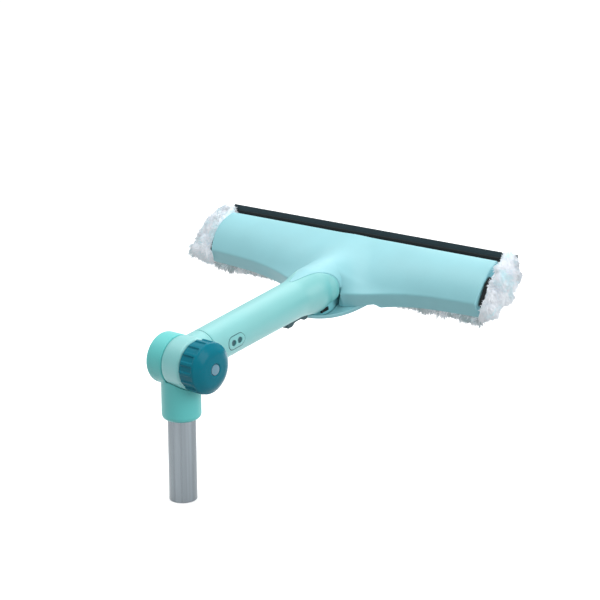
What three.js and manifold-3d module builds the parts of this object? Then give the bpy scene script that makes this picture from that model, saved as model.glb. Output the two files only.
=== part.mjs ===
// Window cleaning squeegee: a two-sided head on a grip arm, on a pole with a tilting clamp joint.
// Millimetres, +Z up. The origin is the centre of the pole's lower end, and the pole runs up +Z.
// The tilt axis is parallel to X. At rest the arm points along +Y and rises a little.
import * as THREE from 'three';
import { mergeVertices } from 'three/addons/utils/BufferGeometryUtils.js';
import Module from 'manifold-3d';

// ---------------------------------------------------------------- driving dimensions
const GAP = 0.3; // clearance between pieces that fit together
const MERGE = 0.02; // slivers thinner than this are merged away

// Pole and its socket
const TUBE_R = 12;
const TUBE_WALL = 1.2;
const TUBE_GRIP = 23.5; // length of tube inside the socket
const SOCKET_R = 16.7;
const SOCKET_DROP = 50; // tilt axis to the socket's lower edge
const SOCKET_EDGE = 4.5; // rounding of that edge
const AXIS_HEIGHT = 122; // tilt axis above the pole's lower end

// Joint drum, split on a plane across the tilt axis
const DRUM_R = 21.8;
const DRUM_SPLIT = -2; // x of the split plane
const DRUM_LEFT = 17.9; // depth of the pole's half
const DRUM_RIGHT = 19.9; // depth of the arm's half
const DRUM_EDGE = 3;
const SPLIT_CHAMFER = 0.8;
const SPLIT_LAND = 2.8; // width of that chamfer on the arm's half
const SWING_GAP = 0.4; // room round the turning half

// Clamp bolt and knob
const BOLT_R = 3.9;
const BOLT_HEAD_R = 8;
const BOLT_HEAD = 3;
const BOLT_SQUARE = 7.8;
const CAP_R = 10.4;
const CAP_THICK = 1.5;
const DISC_R = 15.5;
const DISC_HOLE = 6;
const DISC_THICK = 1.4;
const WASHER_R = 9;
const WASHER_THICK = 1.2;
const KNOB_R = 22.2;
const KNOB_DEPTH = 20;
const KNOB_BAND = 15.6; // depth of the fluted grip band
const KNOB_RIBS = 16;
const RIB_HEIGHT = 1.3;
const INSERT_R = 7;
const INSERT_LENGTH = 8;
const KNOB_CAP_R = 4.7;
const KNOB_CAP_THICK = 1.8;

// Arm, measured along its own axis from the tilt axis
const ARM_RISE = 8.45; // degrees above level at rest
const ARM_START = 27.2; // seam between collar and arm
const ARM_END = 188;
const ARM_R = 16.7;
const ARM_SWELL = 0.8; // growth of the radius before the bell
const BELL_START = ARM_END - 40;
const BELL_FULL = ARM_END - 20;
const BELL_R = 21.3;
const BELL_EDGE = 2.4;
const SPIGOT_R = 13.7;
const SPIGOT_WALL = 2.5;
const SPIGOT_END = 78;

// Click button in the arm's right side
const BUTTON_AT = 52;
const BUTTON_LENGTH = 20;
const BUTTON_WIDTH = 11.2;
const BUTTON_FLANGE = 1.6; // how far the flange stands out all round
const DIMPLE_R = 2.3;
const DIMPLE_PITCH = 7.4;
const SPRING_WIRE = 0.45;

// Release slider under the arm
const SLIDER_END = ARM_END - 31.4;
const SLIDER_START = SLIDER_END - 28.1;
const SLIDER_WIDTH = 13;
const SLIDER_TRAVEL = 5;
const SLIDER_SEAT = 16.2; // depth of its flat seat below the arm's axis
const SLIDER_TIP = 21.6; // depth of the raised ends
const SLIDER_HOLLOW = 18.3; // depth of the thumb hollow
const STEM_AT = SLIDER_START + 14;
const STEM_LENGTH = 7;
const STEM_WIDTH = 6;
const BAR_TOP = 8.2;
const BAR_THICK = 2.2;
const BAR_WIDTH = 5.2;
const BAR_TIP = STEM_AT + 14.5;
const BAR_SHOULDER = STEM_AT - 7.5;
const BAR_TAIL = 11;
const STOP_RIB_AT = BAR_SHOULDER - 2 * BAR_TAIL;

// Neck of the head, on the arm's axis
const NECK_SPIGOT_START = ARM_END - 38;
const FLANGE_R = 17.4;
const FLANGE_THICK = 3;
const KEEL_WIDTH = 24.6;
const KEEL_REACH = 93; // its round nose, on the chin
const KEEL_NOSE = 19; // length of the nose's curve
const KEEL_GAP = 1.6; // between the keel and the chin's rim
const KEEL_SLOT_AT = ARM_END - 12.8;
const KEEL_SLOT_DEPTH = 18.6; // below the arm's axis
const KEEL_SLOT_LENGTH = 9.4;
const KEEL_SLOT_HEIGHT = 3.2;

// Head plate: its frame stands on the top edge of the housing's back wall
const EDGE_REACH = ARM_END + 56.7; // along the arm
const EDGE_RISE = 27.7; // above the arm's axis
const PLATE_TILT = 32.4; // degrees between plate and arm
const BLADE_HALF = 165;
const HEAD_HALF = BLADE_HALF - 11.4;
const END_BULGE = 2; // how far the ends bow out halfway
const HEAD_DEPTH = 46.5; // back edge to ridge at the ends
const HEAD_THICK = 14.4; // back edge down to the underside
const CROWN = 6.5;
const SHELL_WALL = 2.4;
const BEVEL_DRAFT = 5; // how far the front wall leans out
const END_DRAFT = 1.4;
const NECK_REACH = 19; // extra depth of the ridge at the neck
const NECK_SPREAD = 60; // half width over which the ridge sweeps out
const HOOD_HEIGHT = BELL_R; // hood behind the arm, above the arm's axis
const HOOD_FOOT = -10;
const HOOD_SPREAD = 27;
const HOOD_FLARE = 13; // growth of that spread towards the back
const HOOD_BLEND = 10;
const TONGUE_THICK = 2.2; // the hood's tongue, flush in the arm's top
const SEAM_TIP = ARM_END - 43; // where the tongue ends
const SEAM_END = ARM_END + 1;
const SEAM_SIDE = BELL_R + 0.4;
const SEAM_GAP = 0.6;
const SEAM_POWER = 1.88; // shape of the tongue's edge
const NECK_DIP = -1.5; // how much the ridge dips at the neck
const BASE_THICK = 2.2;
const CHIN_HALF = 52;
const CHIN_REACH = 98;
const LIP_HEIGHT = 4.4;
const LIP_RIM = 2.6;
const WING_REACH = 14; // end wings that hold the cover's pockets
const WING_THICK = 2;

// Screws that hold the head together, as [x, y] in the head's frame
const SCREW_R = 1.2;
const SCREW_HEAD_R = 2.5;
const SCREW_LENGTH = 9;
const STRIP_START = 60; // hook strips under the plate
const STRIP_FRONT = 32.5;
const STRIP_BACK = 14;
const OUTER_SCREW = HEAD_HALF - 25.6;
const SHELL_SCREWS = [[-OUTER_SCREW, -24], [-70, -28], [70, -28], [OUTER_SCREW, -24]];
const NECK_SCREWS = [[-12, -44], [12, -44]];
const POST_R = 3.4;

// Blade and its rail, beyond the back wall
const BLADE_WIDTH = 12.5;
const BLADE_THICK = 2;
const BLADE_TILT = 41; // degrees above the plate
const BLADE_TIP_Y = 13.6;
const BLADE_TIP_Z = -5.9;
const RAIL_THICK = 5;
const RAIL_DEPTH = 7.6;
const RAIL_CAP = 2;
const RAIL_HALF = BLADE_HALF - 3;

// Microfibre cover
const COVER_THICK = 9;
const COVER_HALF = HEAD_HALF + 3.8;
const CLIP_THICK = 1.4;
const COVER_END = 20.5; // thickness of each end pocket along X

// ---------------------------------------------------------------- finishes
const plastic = (color, roughness = 0.4) => new THREE.MeshStandardMaterial({ color, roughness });
const metal = (color, roughness = 0.3) => new THREE.MeshStandardMaterial({ color, roughness, metalness: 1 });
const MINT = plastic('#7fcfca');
const SOCKET_MINT = plastic('#5fb8b5');
const PALE_BLUE = plastic('#a6dde6', 0.35);
const DEEP_BLUE = plastic('#0b6f86', 0.3);
const CAP_BLUE = plastic('#6b93a6', 0.35);
const SLATE = plastic('#37474c', 0.5);
const BLACK = plastic('#16191b', 0.5);
const RUBBER = plastic('#3b3f46', 0.7);
const FIBRE = plastic('#e6ebf0', 1);
const HOOK = plastic('#d9dcde', 0.9);
const FRICTION = plastic('#5a4a3c', 0.9);
const ALUMINIUM = metal('#9aa0a5', 0.35);
const STEEL = metal('#b9bdc0', 0.3);
const BRASS = metal('#b9975b', 0.3);

// ---------------------------------------------------------------- solid helpers
const wasm = await Module();
wasm.setup();
const rad = THREE.MathUtils.degToRad;

// A manifold solid from a closed geometry, with its faces turned outwards.
function solid(geometry) {
  const bare = geometry.clone();
  bare.deleteAttribute('normal');
  bare.deleteAttribute('uv');
  const merged = mergeVertices(bare, 1e-4);
  const at = merged.attributes.position;
  const corner = (i) => new THREE.Vector3().fromBufferAttribute(at, i);
  const faces = [];
  let volume = 0;
  for (let i = 0; i < merged.index.count; i += 3) {
    const [a, b, c] = [0, 1, 2].map((k) => merged.index.getX(i + k));
    if (a === b || b === c || c === a) continue;
    faces.push([a, b, c]);
    volume += corner(a).dot(corner(b).cross(corner(c)));
  }
  const triVerts = Uint32Array.from(faces.flatMap(([a, b, c]) => (volume < 0 ? [a, c, b] : [a, b, c])));
  const vertProperties = Float32Array.from(at.array);
  return new wasm.Manifold(new wasm.Mesh({ numProp: 3, vertProperties, triVerts }));
}

function toGeometry(manifold) {
  const mesh = manifold.simplify(MERGE).getMesh();
  const geometry = new THREE.BufferGeometry();
  geometry.setAttribute('position', new THREE.BufferAttribute(Float32Array.from(mesh.vertProperties), 3));
  geometry.setIndex(new THREE.BufferAttribute(Uint32Array.from(mesh.triVerts), 1));
  geometry.computeVertexNormals();
  return geometry;
}

// Outline of [x, y, radius] corners with round corners where a radius is given.
function rounded(corners, steps = 4, closed = true) {
  const points = [];
  const count = corners.length;
  corners.forEach(([x, y, radius = 0], i) => {
    const here = new THREE.Vector2(x, y);
    if (!radius || (!closed && (i === 0 || i === count - 1))) {
      points.push(here);
      return;
    }
    const before = new THREE.Vector2(...corners[(i + count - 1) % count]).sub(here).normalize();
    const after = new THREE.Vector2(...corners[(i + 1) % count]).sub(here).normalize();
    const half = Math.acos(THREE.MathUtils.clamp(before.dot(after), -1, 1)) / 2;
    const reach = radius / Math.tan(half);
    const centre = before.clone().add(after).normalize().multiplyScalar(radius / Math.sin(half)).add(here);
    const start = before.clone().multiplyScalar(reach).add(here).sub(centre);
    const end = after.clone().multiplyScalar(reach).add(here).sub(centre);
    let sweep = end.angle() - start.angle();
    if (sweep > Math.PI) sweep -= 2 * Math.PI;
    if (sweep < -Math.PI) sweep += 2 * Math.PI;
    for (let k = 0; k <= steps; k += 1) {
      points.push(start.clone().rotateAround(new THREE.Vector2(), (sweep * k) / steps).add(centre));
    }
  });
  return points;
}

// Revolved solid. The profile is [radius, height] corners, its height along the named axis.
function revolve(corners, axis, segments = 36, steps = 3) {
  const points = rounded(corners, steps);
  const geometry = new THREE.LatheGeometry([...points, points[0]], segments);
  if (axis === 'x') geometry.rotateZ(-Math.PI / 2);
  if (axis === 'z') geometry.rotateX(Math.PI / 2);
  return geometry;
}

const pin = (radius, from, to, axis, segments = 24) =>
  revolve([[0, from], [radius, from], [radius, to], [0, to]], axis, segments);

const ring = (inner, outer, from, to, axis, segments = 32) =>
  revolve([[inner, from], [outer, from], [outer, to], [inner, to]], axis, segments);

const box = (x0, x1, y0, y1, z0, z1) =>
  new THREE.BoxGeometry(x1 - x0, y1 - y0, z1 - z0).translate((x0 + x1) / 2, (y0 + y1) / 2, (z0 + z1) / 2);

// Prism of a (y, z) outline between two x values.
function prismX(outline, x0, x1) {
  const geometry = new THREE.ExtrudeGeometry(new THREE.Shape(outline), { depth: x1 - x0, bevelEnabled: false });
  const turn = new THREE.Matrix4().makeBasis(
    new THREE.Vector3(0, 1, 0), new THREE.Vector3(0, 0, 1), new THREE.Vector3(1, 0, 0));
  return geometry.applyMatrix4(turn).translate(x0, 0, 0);
}

// Prism of an (x, y) outline between two heights.
const prismZ = (outline, z0, z1) =>
  new THREE.ExtrudeGeometry(new THREE.Shape(outline), { depth: z1 - z0, bevelEnabled: false }).translate(0, 0, z0);

// Closed body through rings of equal length that each lie across X.
function loft(sections) {
  const rings = sections[0][0].x < sections.at(-1)[0].x ? sections : [...sections].reverse();
  const size = rings[0].length;
  const positions = rings.flat().flatMap((p) => p.toArray());
  const index = [];
  for (let r = 0; r + 1 < rings.length; r += 1) {
    for (let k = 0; k < size; k += 1) {
      const next = (k + 1) % size;
      const [a, b, c, d] = [r * size + k, r * size + next, (r + 1) * size + next, (r + 1) * size + k];
      index.push(a, b, c, a, c, d);
    }
  }
  const cap = (at, flip) => {
    const contour = rings[at].map((p) => new THREE.Vector2(p.y, p.z));
    for (const [a, b, c] of THREE.ShapeUtils.triangulateShape(contour, [])) {
      const face = [a, b, c].map((k) => at * size + k);
      index.push(...(flip ? face.reverse() : face));
    }
  };
  const clockwise = THREE.ShapeUtils.isClockWise(rings[0].map((p) => new THREE.Vector2(p.y, p.z)));
  cap(0, !clockwise);
  cap(rings.length - 1, clockwise);
  const geometry = new THREE.BufferGeometry();
  geometry.setAttribute('position', new THREE.Float32BufferAttribute(positions, 3));
  geometry.setIndex(index);
  return geometry;
}

// Coil spring of round wire along an axis from one height to another.
class Coil extends THREE.Curve {
  constructor(radius, from, to, turns) {
    super();
    Object.assign(this, { radius, from, to, turns });
  }

  getPoint(t) {
    const angle = 2 * Math.PI * this.turns * t;
    return new THREE.Vector3(
      this.radius * Math.cos(angle), this.from + (this.to - this.from) * t, this.radius * Math.sin(angle));
  }
}

function coilSpring(radius, from, to, turns) {
  const wire = new THREE.Shape(rounded([0, 1, 2, 3, 4].map((k) => {
    const angle = (k * 2 * Math.PI) / 5;
    return [SPRING_WIRE * Math.cos(angle), SPRING_WIRE * Math.sin(angle)];
  })));
  return new THREE.ExtrudeGeometry(wire, {
    steps: turns * 9, bevelEnabled: false, extrudePath: new Coil(radius, from, to, turns),
  });
}

// ---------------------------------------------------------------- frames
const squeegee = new THREE.Group();

const joint = new THREE.Group();
joint.position.z = AXIS_HEIGHT;
squeegee.add(joint);

const arm = new THREE.Group();
arm.rotation.x = rad(ARM_RISE);
joint.add(arm);

const head = new THREE.Group();
head.position.set(0, EDGE_REACH, EDGE_RISE);
head.rotation.x = rad(PLATE_TILT);
arm.add(head);

function piece(name, shape, material, parent) {
  const geometry = shape.isBufferGeometry ? toGeometry(solid(shape)) : toGeometry(shape);
  const mesh = new THREE.Mesh(geometry, material);
  mesh.name = name;
  parent.add(mesh);
}

// Takes a geometry drawn in the head's frame into the arm's frame, and the other way.
const toHeadSolid = (body) => solid(armToHead(toGeometry(body)));
const headToArm = (geometry) => geometry.rotateX(rad(PLATE_TILT)).translate(0, EDGE_REACH, EDGE_RISE);
const armToHead = (geometry) => geometry.translate(0, -EDGE_REACH, -EDGE_RISE).rotateX(-rad(PLATE_TILT));

// ---------------------------------------------------------------- pole, socket and drum
const socketBottom = -SOCKET_DROP; // measured from the tilt axis
const leftFace = DRUM_SPLIT - DRUM_LEFT;
const rightFace = DRUM_SPLIT + DRUM_RIGHT;
const leftSplit = DRUM_SPLIT - GAP / 2;
const rightSplit = DRUM_SPLIT + GAP / 2;
const capSeat = leftFace + CAP_THICK + GAP;
const headSeat = capSeat + BOLT_HEAD + GAP;

function halfDrum(from, to) {
  const outer = Math.abs(from) > Math.abs(to) ? from : to;
  const split = outer === from ? to : from;
  const land = outer > 0 ? SPLIT_LAND : -SPLIT_CHAMFER;
  return revolve(
    [[0, split], [DRUM_R - SPLIT_CHAMFER, split], [DRUM_R, split + land], [DRUM_R, outer, DRUM_EDGE], [0, outer]],
    'x', 44, 3);
}

// The space that the arm's collar takes outside the drum, at a given elevation.
const collarSpace = (elevation) =>
  solid(pin(ARM_R + SWING_GAP, 8, DRUM_R + 24, 'y', 36).rotateX(rad(elevation)))
    .subtract(solid(pin(DRUM_R + 0.1, -40, 40, 'x', 48)));

function poleTube() {
  return ring(TUBE_R - TUBE_WALL, TUBE_R, 0, AXIS_HEIGHT - SOCKET_DROP + TUBE_GRIP, 'z', 36);
}

function poleSocket() {
  const barrel = revolve([[0, socketBottom], [SOCKET_R, socketBottom, SOCKET_EDGE], [SOCKET_R, 0], [0, 0]], 'z', 44);
  const tubeBore = pin(TUBE_R + GAP, socketBottom - 1, socketBottom + TUBE_GRIP + GAP, 'z', 36);
  const turningHalf = pin(DRUM_R + SWING_GAP, leftSplit, rightFace + 10, 'x', 44);
  const screwHole = pin(1.8, SOCKET_R - 6.4, SOCKET_R + 2, 'y', 16).translate(0, 0, socketBottom + TUBE_GRIP / 2);
  return solid(barrel)
    .add(solid(halfDrum(leftFace, leftSplit)))
    .subtract(solid(turningHalf))
    .subtract(collarSpace(ARM_RISE))
    .subtract(collarSpace(180 - ARM_RISE))
    .subtract(solid(tubeBore))
    .subtract(solid(pin(BOLT_R + GAP, leftFace - 1, leftSplit + 1, 'x')))
    .subtract(solid(box(headSeat - 0.1, headSeat + 4, -BOLT_SQUARE / 2 - GAP, BOLT_SQUARE / 2 + GAP,
      -BOLT_SQUARE / 2 - GAP, BOLT_SQUARE / 2 + GAP)))
    .subtract(solid(pin(BOLT_HEAD_R + GAP, leftFace - 1, headSeat, 'x', 32)))
    .subtract(solid(pin(CAP_R + GAP, leftFace - 1, capSeat, 'x', 36)))
    .subtract(solid(ring(DISC_HOLE - GAP, DISC_R + GAP, leftSplit - DISC_THICK / 2, leftSplit + 1, 'x', 36)))
    .subtract(solid(screwHole));
}

function tubeScrew() {
  const head = revolve([[0, SOCKET_R + 0.3], [2.9, SOCKET_R + 0.3], [2.9, SOCKET_R + 1.3, 0.8],
    [1.2, SOCKET_R + 2.2], [0, SOCKET_R + 2.2]], 'y', 20, 3);
  const shank = pin(1.45, SOCKET_R - 4.6, SOCKET_R + 1, 'y', 12);
  const cross = [0, Math.PI / 2].map((turn) =>
    box(-0.4, 0.4, SOCKET_R + 1.4, SOCKET_R + 3, -1.7, 1.7).rotateY(turn));
  return cross.reduce((whole, slot) => whole.subtract(solid(slot)), solid(head).add(solid(shank)));
}

const boltEnd = rightFace + GAP + KNOB_DEPTH - KNOB_CAP_THICK - 5;

function clampBolt() {
  const headOuter = capSeat + GAP;
  const dome = revolve([[0, headOuter], [BOLT_HEAD_R * 0.7, headOuter, 2], [BOLT_HEAD_R, headSeat - 1, 0.6],
    [BOLT_HEAD_R, headSeat - GAP], [0, headSeat - GAP]], 'x', 32, 3);
  const square = box(headSeat - 1, headSeat + 3.6, -BOLT_SQUARE / 2, BOLT_SQUARE / 2, -BOLT_SQUARE / 2, BOLT_SQUARE / 2);
  const shank = revolve([[0, headSeat], [BOLT_R, headSeat], [BOLT_R, boltEnd - 1], [BOLT_R - 1, boltEnd], [0, boltEnd]],
    'x', 24);
  return solid(dome).add(solid(square)).add(solid(shank));
}

function boltCap() {
  return revolve([[0, leftFace + 0.2], [CAP_R, leftFace + 0.2, 0.5], [CAP_R, leftFace + CAP_THICK],
    [0, leftFace + CAP_THICK]], 'x', 48, 3);
}

// ---------------------------------------------------------------- clamp knob
const knobBack = rightFace + GAP;
const knobFront = knobBack + KNOB_DEPTH;
const insertEnd = knobBack + WASHER_THICK + 2 * GAP + INSERT_LENGTH;

function knobOutline() {
  const points = [];
  const pitch = (2 * Math.PI) / KNOB_RIBS;
  const shape = [[0, 0], [0.3, 0], [0.36, RIB_HEIGHT], [0.94, RIB_HEIGHT]]; // share of the pitch, depth
  for (let rib = 0; rib < KNOB_RIBS; rib += 1) {
    for (const [share, depth] of shape) {
      const angle = (rib + share) * pitch;
      points.push(new THREE.Vector2((KNOB_R - depth) * Math.cos(angle), (KNOB_R - depth) * Math.sin(angle)));
    }
  }
  return points;
}

function hexPrism(radius, x0, x1) {
  const outline = [0, 1, 2, 3, 4, 5].map((k) =>
    new THREE.Vector2(radius * Math.cos((k * Math.PI) / 3), radius * Math.sin((k * Math.PI) / 3)));
  return prismX(outline, x0, x1);
}

function clampKnob() {
  const bandEnd = knobBack + KNOB_BAND;
  const bodyR = KNOB_R - RIB_HEIGHT;
  const face = [[KNOB_R - 0.4, bandEnd, 2.2], [KNOB_R * 0.68, knobFront - 1, 14], [KNOB_CAP_R + 1.2, knobFront],
    [KNOB_CAP_R + GAP, knobFront - 0.6]];
  const body = revolve([[0, knobBack], [bodyR, knobBack], [bodyR, bandEnd - 2.4], [KNOB_R - 0.4, bandEnd - 2],
    ...face, [0, knobFront - 0.6]], 'x', 48, 4);
  const envelope = revolve([[0, knobBack + 1], [KNOB_R - 0.6, knobBack + 1], [KNOB_R, knobBack + 1.6],
    [KNOB_R, bandEnd - 2.4], [KNOB_R - 1, bandEnd - 1.6], [0, bandEnd - 1.6]], 'x', 48);
  const ribs = solid(prismX(knobOutline(), knobBack + 1, bandEnd - 1.6)).intersect(solid(envelope));
  return solid(body).add(ribs)
    .subtract(solid(pin(BOLT_R + GAP, knobBack - 1, boltEnd + 2 * GAP, 'x')))
    .subtract(solid(hexPrism(INSERT_R + GAP, knobBack - 1, insertEnd + GAP)))
    .subtract(solid(pin(WASHER_R + GAP, knobBack - 1, knobBack + WASHER_THICK + GAP, 'x')))
    .subtract(solid(pin(KNOB_CAP_R + GAP, knobFront - 0.6 - KNOB_CAP_THICK, knobFront + 1, 'x')));
}

function knobInsert() {
  const start = knobBack + WASHER_THICK + 2 * GAP;
  return solid(hexPrism(INSERT_R, start, insertEnd)).subtract(solid(pin(BOLT_R + GAP / 2, start - 1, insertEnd + 1, 'x', 24)));
}

function knobCap() {
  const back = knobFront - 0.6 - KNOB_CAP_THICK + GAP;
  return revolve([[0, back], [KNOB_CAP_R, back], [KNOB_CAP_R, back + KNOB_CAP_THICK, 0.6], [0, back + KNOB_CAP_THICK + 0.2]], 'x', 32, 3);
}

// ---------------------------------------------------------------- arm
const buttonSide = ARM_R + (ARM_SWELL * (BUTTON_AT - ARM_START)) / (BELL_START - ARM_START);

const stadium = (length, width, steps = 8) => {
  const end = width / 2;
  return rounded([[-length / 2, -end, end - 0.01], [length / 2, -end, end - 0.01], [length / 2, end, end - 0.01],
    [-length / 2, end, end - 0.01]], steps);
};

// Stadium-shaped prism along X at the click button's place.
const buttonPrism = (grow, x0, x1) =>
  prismX(stadium(BUTTON_LENGTH + 2 * grow, BUTTON_WIDTH + 2 * grow), x0, x1).translate(0, BUTTON_AT, 0);

// Where the hood's tongue ends, at a share of its half width from 0 on top to 1 at the side.
function seamAt(share) {
  const blunt = Math.hypot(share, 0.1) - 0.1;
  return SEAM_END - (SEAM_END - SEAM_TIP) * Math.max(1 - blunt, 0) ** SEAM_POWER;
}

// The arm's underside stops short of its end, seen from the side, to let the keel through.
const underCut = (lower) => [[ARM_END, -8], [ARM_END - 2.7, -10.5], [ARM_END - 6, -12.7], [ARM_END - 11, -15.3],
  [ARM_END - 18, -17.6], [ARM_END - 27, -19.5], [ARM_END - 38, -BELL_R - 1], [ARM_END - 38, -BELL_R - 12],
  [ARM_END + 16, -BELL_R - 12], [ARM_END + 16, -8]].map(([y, z]) => new THREE.Vector2(y, z - lower));

const seamCurve = (setBack) => Array.from({ length: 33 }, (_, k) => 1 - k / 16)
  .map((share) => new THREE.Vector2(SEAM_SIDE * share, seamAt(share) - setBack));

function armProfile(grow) {
  return [
    [ARM_R + grow, ARM_START], [ARM_R + ARM_SWELL + grow, BELL_START, 40], [BELL_R + grow, BELL_FULL, 40],
    [BELL_R + grow, ARM_END, BELL_EDGE],
  ];
}

function armKnuckle() {
  const collar = revolve([[0, 0], [ARM_R, 0], [ARM_R, ARM_START - GAP / 2], [SPIGOT_R, ARM_START - GAP / 2],
    [SPIGOT_R, SPIGOT_END, 1.5], [0, SPIGOT_END]], 'y', 44);
  const fixedHalf = pin(DRUM_R + SWING_GAP, leftFace - 4, rightSplit, 'x', 44);
  return solid(collar)
    .add(solid(halfDrum(rightSplit, rightFace)))
    .subtract(solid(fixedHalf))
    .subtract(solid(pin(BOLT_R + GAP, rightSplit - 1, rightFace + 1, 'x')))
    .subtract(solid(ring(DISC_HOLE - GAP, DISC_R + GAP, rightSplit - 1, rightSplit + DISC_THICK / 2, 'x', 36)))
    .subtract(solid(pin(SPIGOT_R - SPIGOT_WALL, ARM_START + 4, SPIGOT_END + 1, 'y', 32)))
    .subtract(solid(buttonPrism(GAP, 0, SPIGOT_R + 2)));
}

const springBase = SPIGOT_R - SPIGOT_WALL - GAP;

function clickButton() {
  const flangeTop = 9.2;
  const plug = solid(buttonPrism(0, flangeTop - 0.5, BELL_R))
    .intersect(solid(pin(buttonSide - 0.15, ARM_START, SPIGOT_END, 'y', 44)));
  const flange = solid(buttonPrism(BUTTON_FLANGE, flangeTop - 2.4, flangeTop))
    .intersect(solid(pin(springBase, ARM_START, SPIGOT_END + 8, 'y', 36)));
  const dimples = [-1, 1].map((side) =>
    pin(DIMPLE_R, buttonSide - 3, buttonSide + 2, 'x', 24).translate(0, BUTTON_AT + (side * DIMPLE_PITCH) / 2, 0));
  return dimples.reduce((whole, hole) => whole.subtract(solid(hole)), plug.add(flange))
    .subtract(solid(pin(4, 0, 12.6, 'x', 24).translate(0, BUTTON_AT, 0)));
}

function buttonSpring() {
  return coilSpring(3, -springBase + SPRING_WIRE + 0.6, 9, 6).rotateZ(-Math.PI / 2).translate(0, BUTTON_AT, 0);
}

function armGrip() {
  const bore = SPIGOT_R + GAP;
  const outer = revolve([[bore, ARM_START + GAP / 2], ...armProfile(0).map(([r, y, e]) =>
    [r, Math.max(y, ARM_START + GAP / 2), e ?? 0]), [BELL_R - 3, ARM_END, 0.6], [BELL_R - 3, BELL_FULL - 4, 4],
    [bore, BELL_START + 3, 3]], 'y', 44, 3);
  const rib = solid(box(-9, 9, STOP_RIB_AT, STOP_RIB_AT + 3, -bore - 1, -6))
    .intersect(solid(pin(bore + 1, STOP_RIB_AT - 1, STOP_RIB_AT + 4, 'y', 32)));
  const seat = box(-SLIDER_WIDTH / 2 - GAP, SLIDER_WIDTH / 2 + GAP, SLIDER_START - SLIDER_TRAVEL - 2 * GAP,
    SLIDER_END + GAP, -BELL_R - 8, -SLIDER_SEAT);
  const slot = box(-STEM_WIDTH / 2 - GAP, STEM_WIDTH / 2 + GAP, STEM_AT - STEM_LENGTH / 2 - SLIDER_TRAVEL - 2 * GAP,
    STEM_AT + STEM_LENGTH / 2 + GAP, -BELL_R, -bore + 4);
  const tongueRoom = prismZ([new THREE.Vector2(SEAM_SIDE, ARM_END + 9), ...seamCurve(SEAM_GAP),
    new THREE.Vector2(-SEAM_SIDE, ARM_END + 9)], -0.3, BELL_R + 5);
  const nosePocket = box(-4.8, 4.8, NECK_SPIGOT_START - 0.6, NECK_SPIGOT_START + 5, -bore - 1.4, -bore + 4);
  return solid(outer).add(rib)
    .subtract(solid(seat))
    .subtract(solid(slot))
    .subtract(solid(nosePocket))
    .subtract(solid(prismX(underCut(0), -BELL_R - 1, BELL_R + 1)))
    .subtract(solid(tongueRoom))
    .subtract(solid(buttonPrism(GAP, 4, BELL_R + 2)));
}

function releaseSlider() {
  const half = SLIDER_WIDTH / 2;
  const top = -SLIDER_SEAT - GAP;
  const side = rounded([[SLIDER_START, top], [SLIDER_START, -SLIDER_TIP + 1.2, 1], [SLIDER_START + 2.5, -SLIDER_TIP, 1.2],
    [SLIDER_START + 6.5, -SLIDER_TIP + 0.8, 2], [SLIDER_START + 10.5, -SLIDER_HOLLOW, 5], [SLIDER_END - 9.5, -SLIDER_HOLLOW, 5],
    [SLIDER_END - 4.5, -SLIDER_TIP + 0.4, 1.6], [SLIDER_END - 1.5, -SLIDER_TIP, 1], [SLIDER_END, -SLIDER_TIP + 2, 1],
    [SLIDER_END, top]], 3);
  const round = pin(SLIDER_TIP + 0.2, SLIDER_START - 1, SLIDER_END + 1, 'y', 36);
  const stem = box(-STEM_WIDTH / 2, STEM_WIDTH / 2, STEM_AT - STEM_LENGTH / 2, STEM_AT + STEM_LENGTH / 2,
    top - 1, -BAR_TOP - BAR_THICK - GAP);
  const peg = box(-1, 1, STEM_AT - 1.2, STEM_AT + 1.2, -BAR_TOP - BAR_THICK - 1, -BAR_TOP + 0.6);
  return solid(prismX(side, -half, half)).intersect(solid(round)).add(solid(stem)).add(solid(peg));
}

function latchBar() {
  const half = BAR_WIDTH / 2;
  const bar = box(-half, half, BAR_SHOULDER, BAR_TIP, -BAR_TOP - BAR_THICK, -BAR_TOP);
  const tail = pin(0.9, BAR_SHOULDER - BAR_TAIL, BAR_SHOULDER + 1, 'y', 12).translate(0, 0, -BAR_TOP - BAR_THICK / 2);
  const pegHole = box(-1 - GAP, 1 + GAP, STEM_AT - 1.2 - GAP, STEM_AT + 1.2 + GAP, -BAR_TOP - 4, -BAR_TOP + 4);
  return solid(bar).add(solid(tail)).subtract(solid(pegHole));
}

function latchSpring() {
  const from = STOP_RIB_AT + 3 + 2 * SPRING_WIRE;
  const to = BAR_SHOULDER - SLIDER_TRAVEL - 2 * SPRING_WIRE;
  return coilSpring(1.9, from, to, 5).translate(0, 0, -BAR_TOP - BAR_THICK / 2);
}

// ---------------------------------------------------------------- head surfaces, in the head's frame
const smooth = (from, to, x) => THREE.MathUtils.smoothstep(x, from, to);
const softMax = (a, b, reach) => Math.max(a, b) + Math.max(reach - Math.abs(a - b), 0) ** 2 / (4 * reach);
const tilt = rad(PLATE_TILT);

// Distance from the back edge to the ridge.
const ridgeDepth = (x) =>
  HEAD_DEPTH + 6 * (1 - Math.abs(x) / HEAD_HALF) + (NECK_REACH - 2) * Math.exp(-((Math.abs(x) / NECK_SPREAD) ** 2.3))
  + 10 * Math.exp(-((Math.abs(x) / 17) ** 4));

// Hood over the neck: an arch that rises behind the arm's end and runs back over the plate.
function hoodHeight(x, y) {
  const reach = EDGE_REACH + (y + 0.5) * Math.cos(tilt) - 14 * Math.sin(tilt);
  const spread = HOOD_SPREAD + HOOD_FLARE * smooth(ARM_END, ARM_END + 36, reach);
  const arch = (HOOD_HEIGHT - HOOD_FOOT) * Math.exp(-((Math.abs(x) / spread) ** 2.6));
  const height = HOOD_FOOT + arch * smooth(ARM_END - 11, ARM_END + 7, reach);
  return (height - EDGE_RISE - y * Math.sin(tilt)) / Math.cos(tilt);
}

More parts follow.
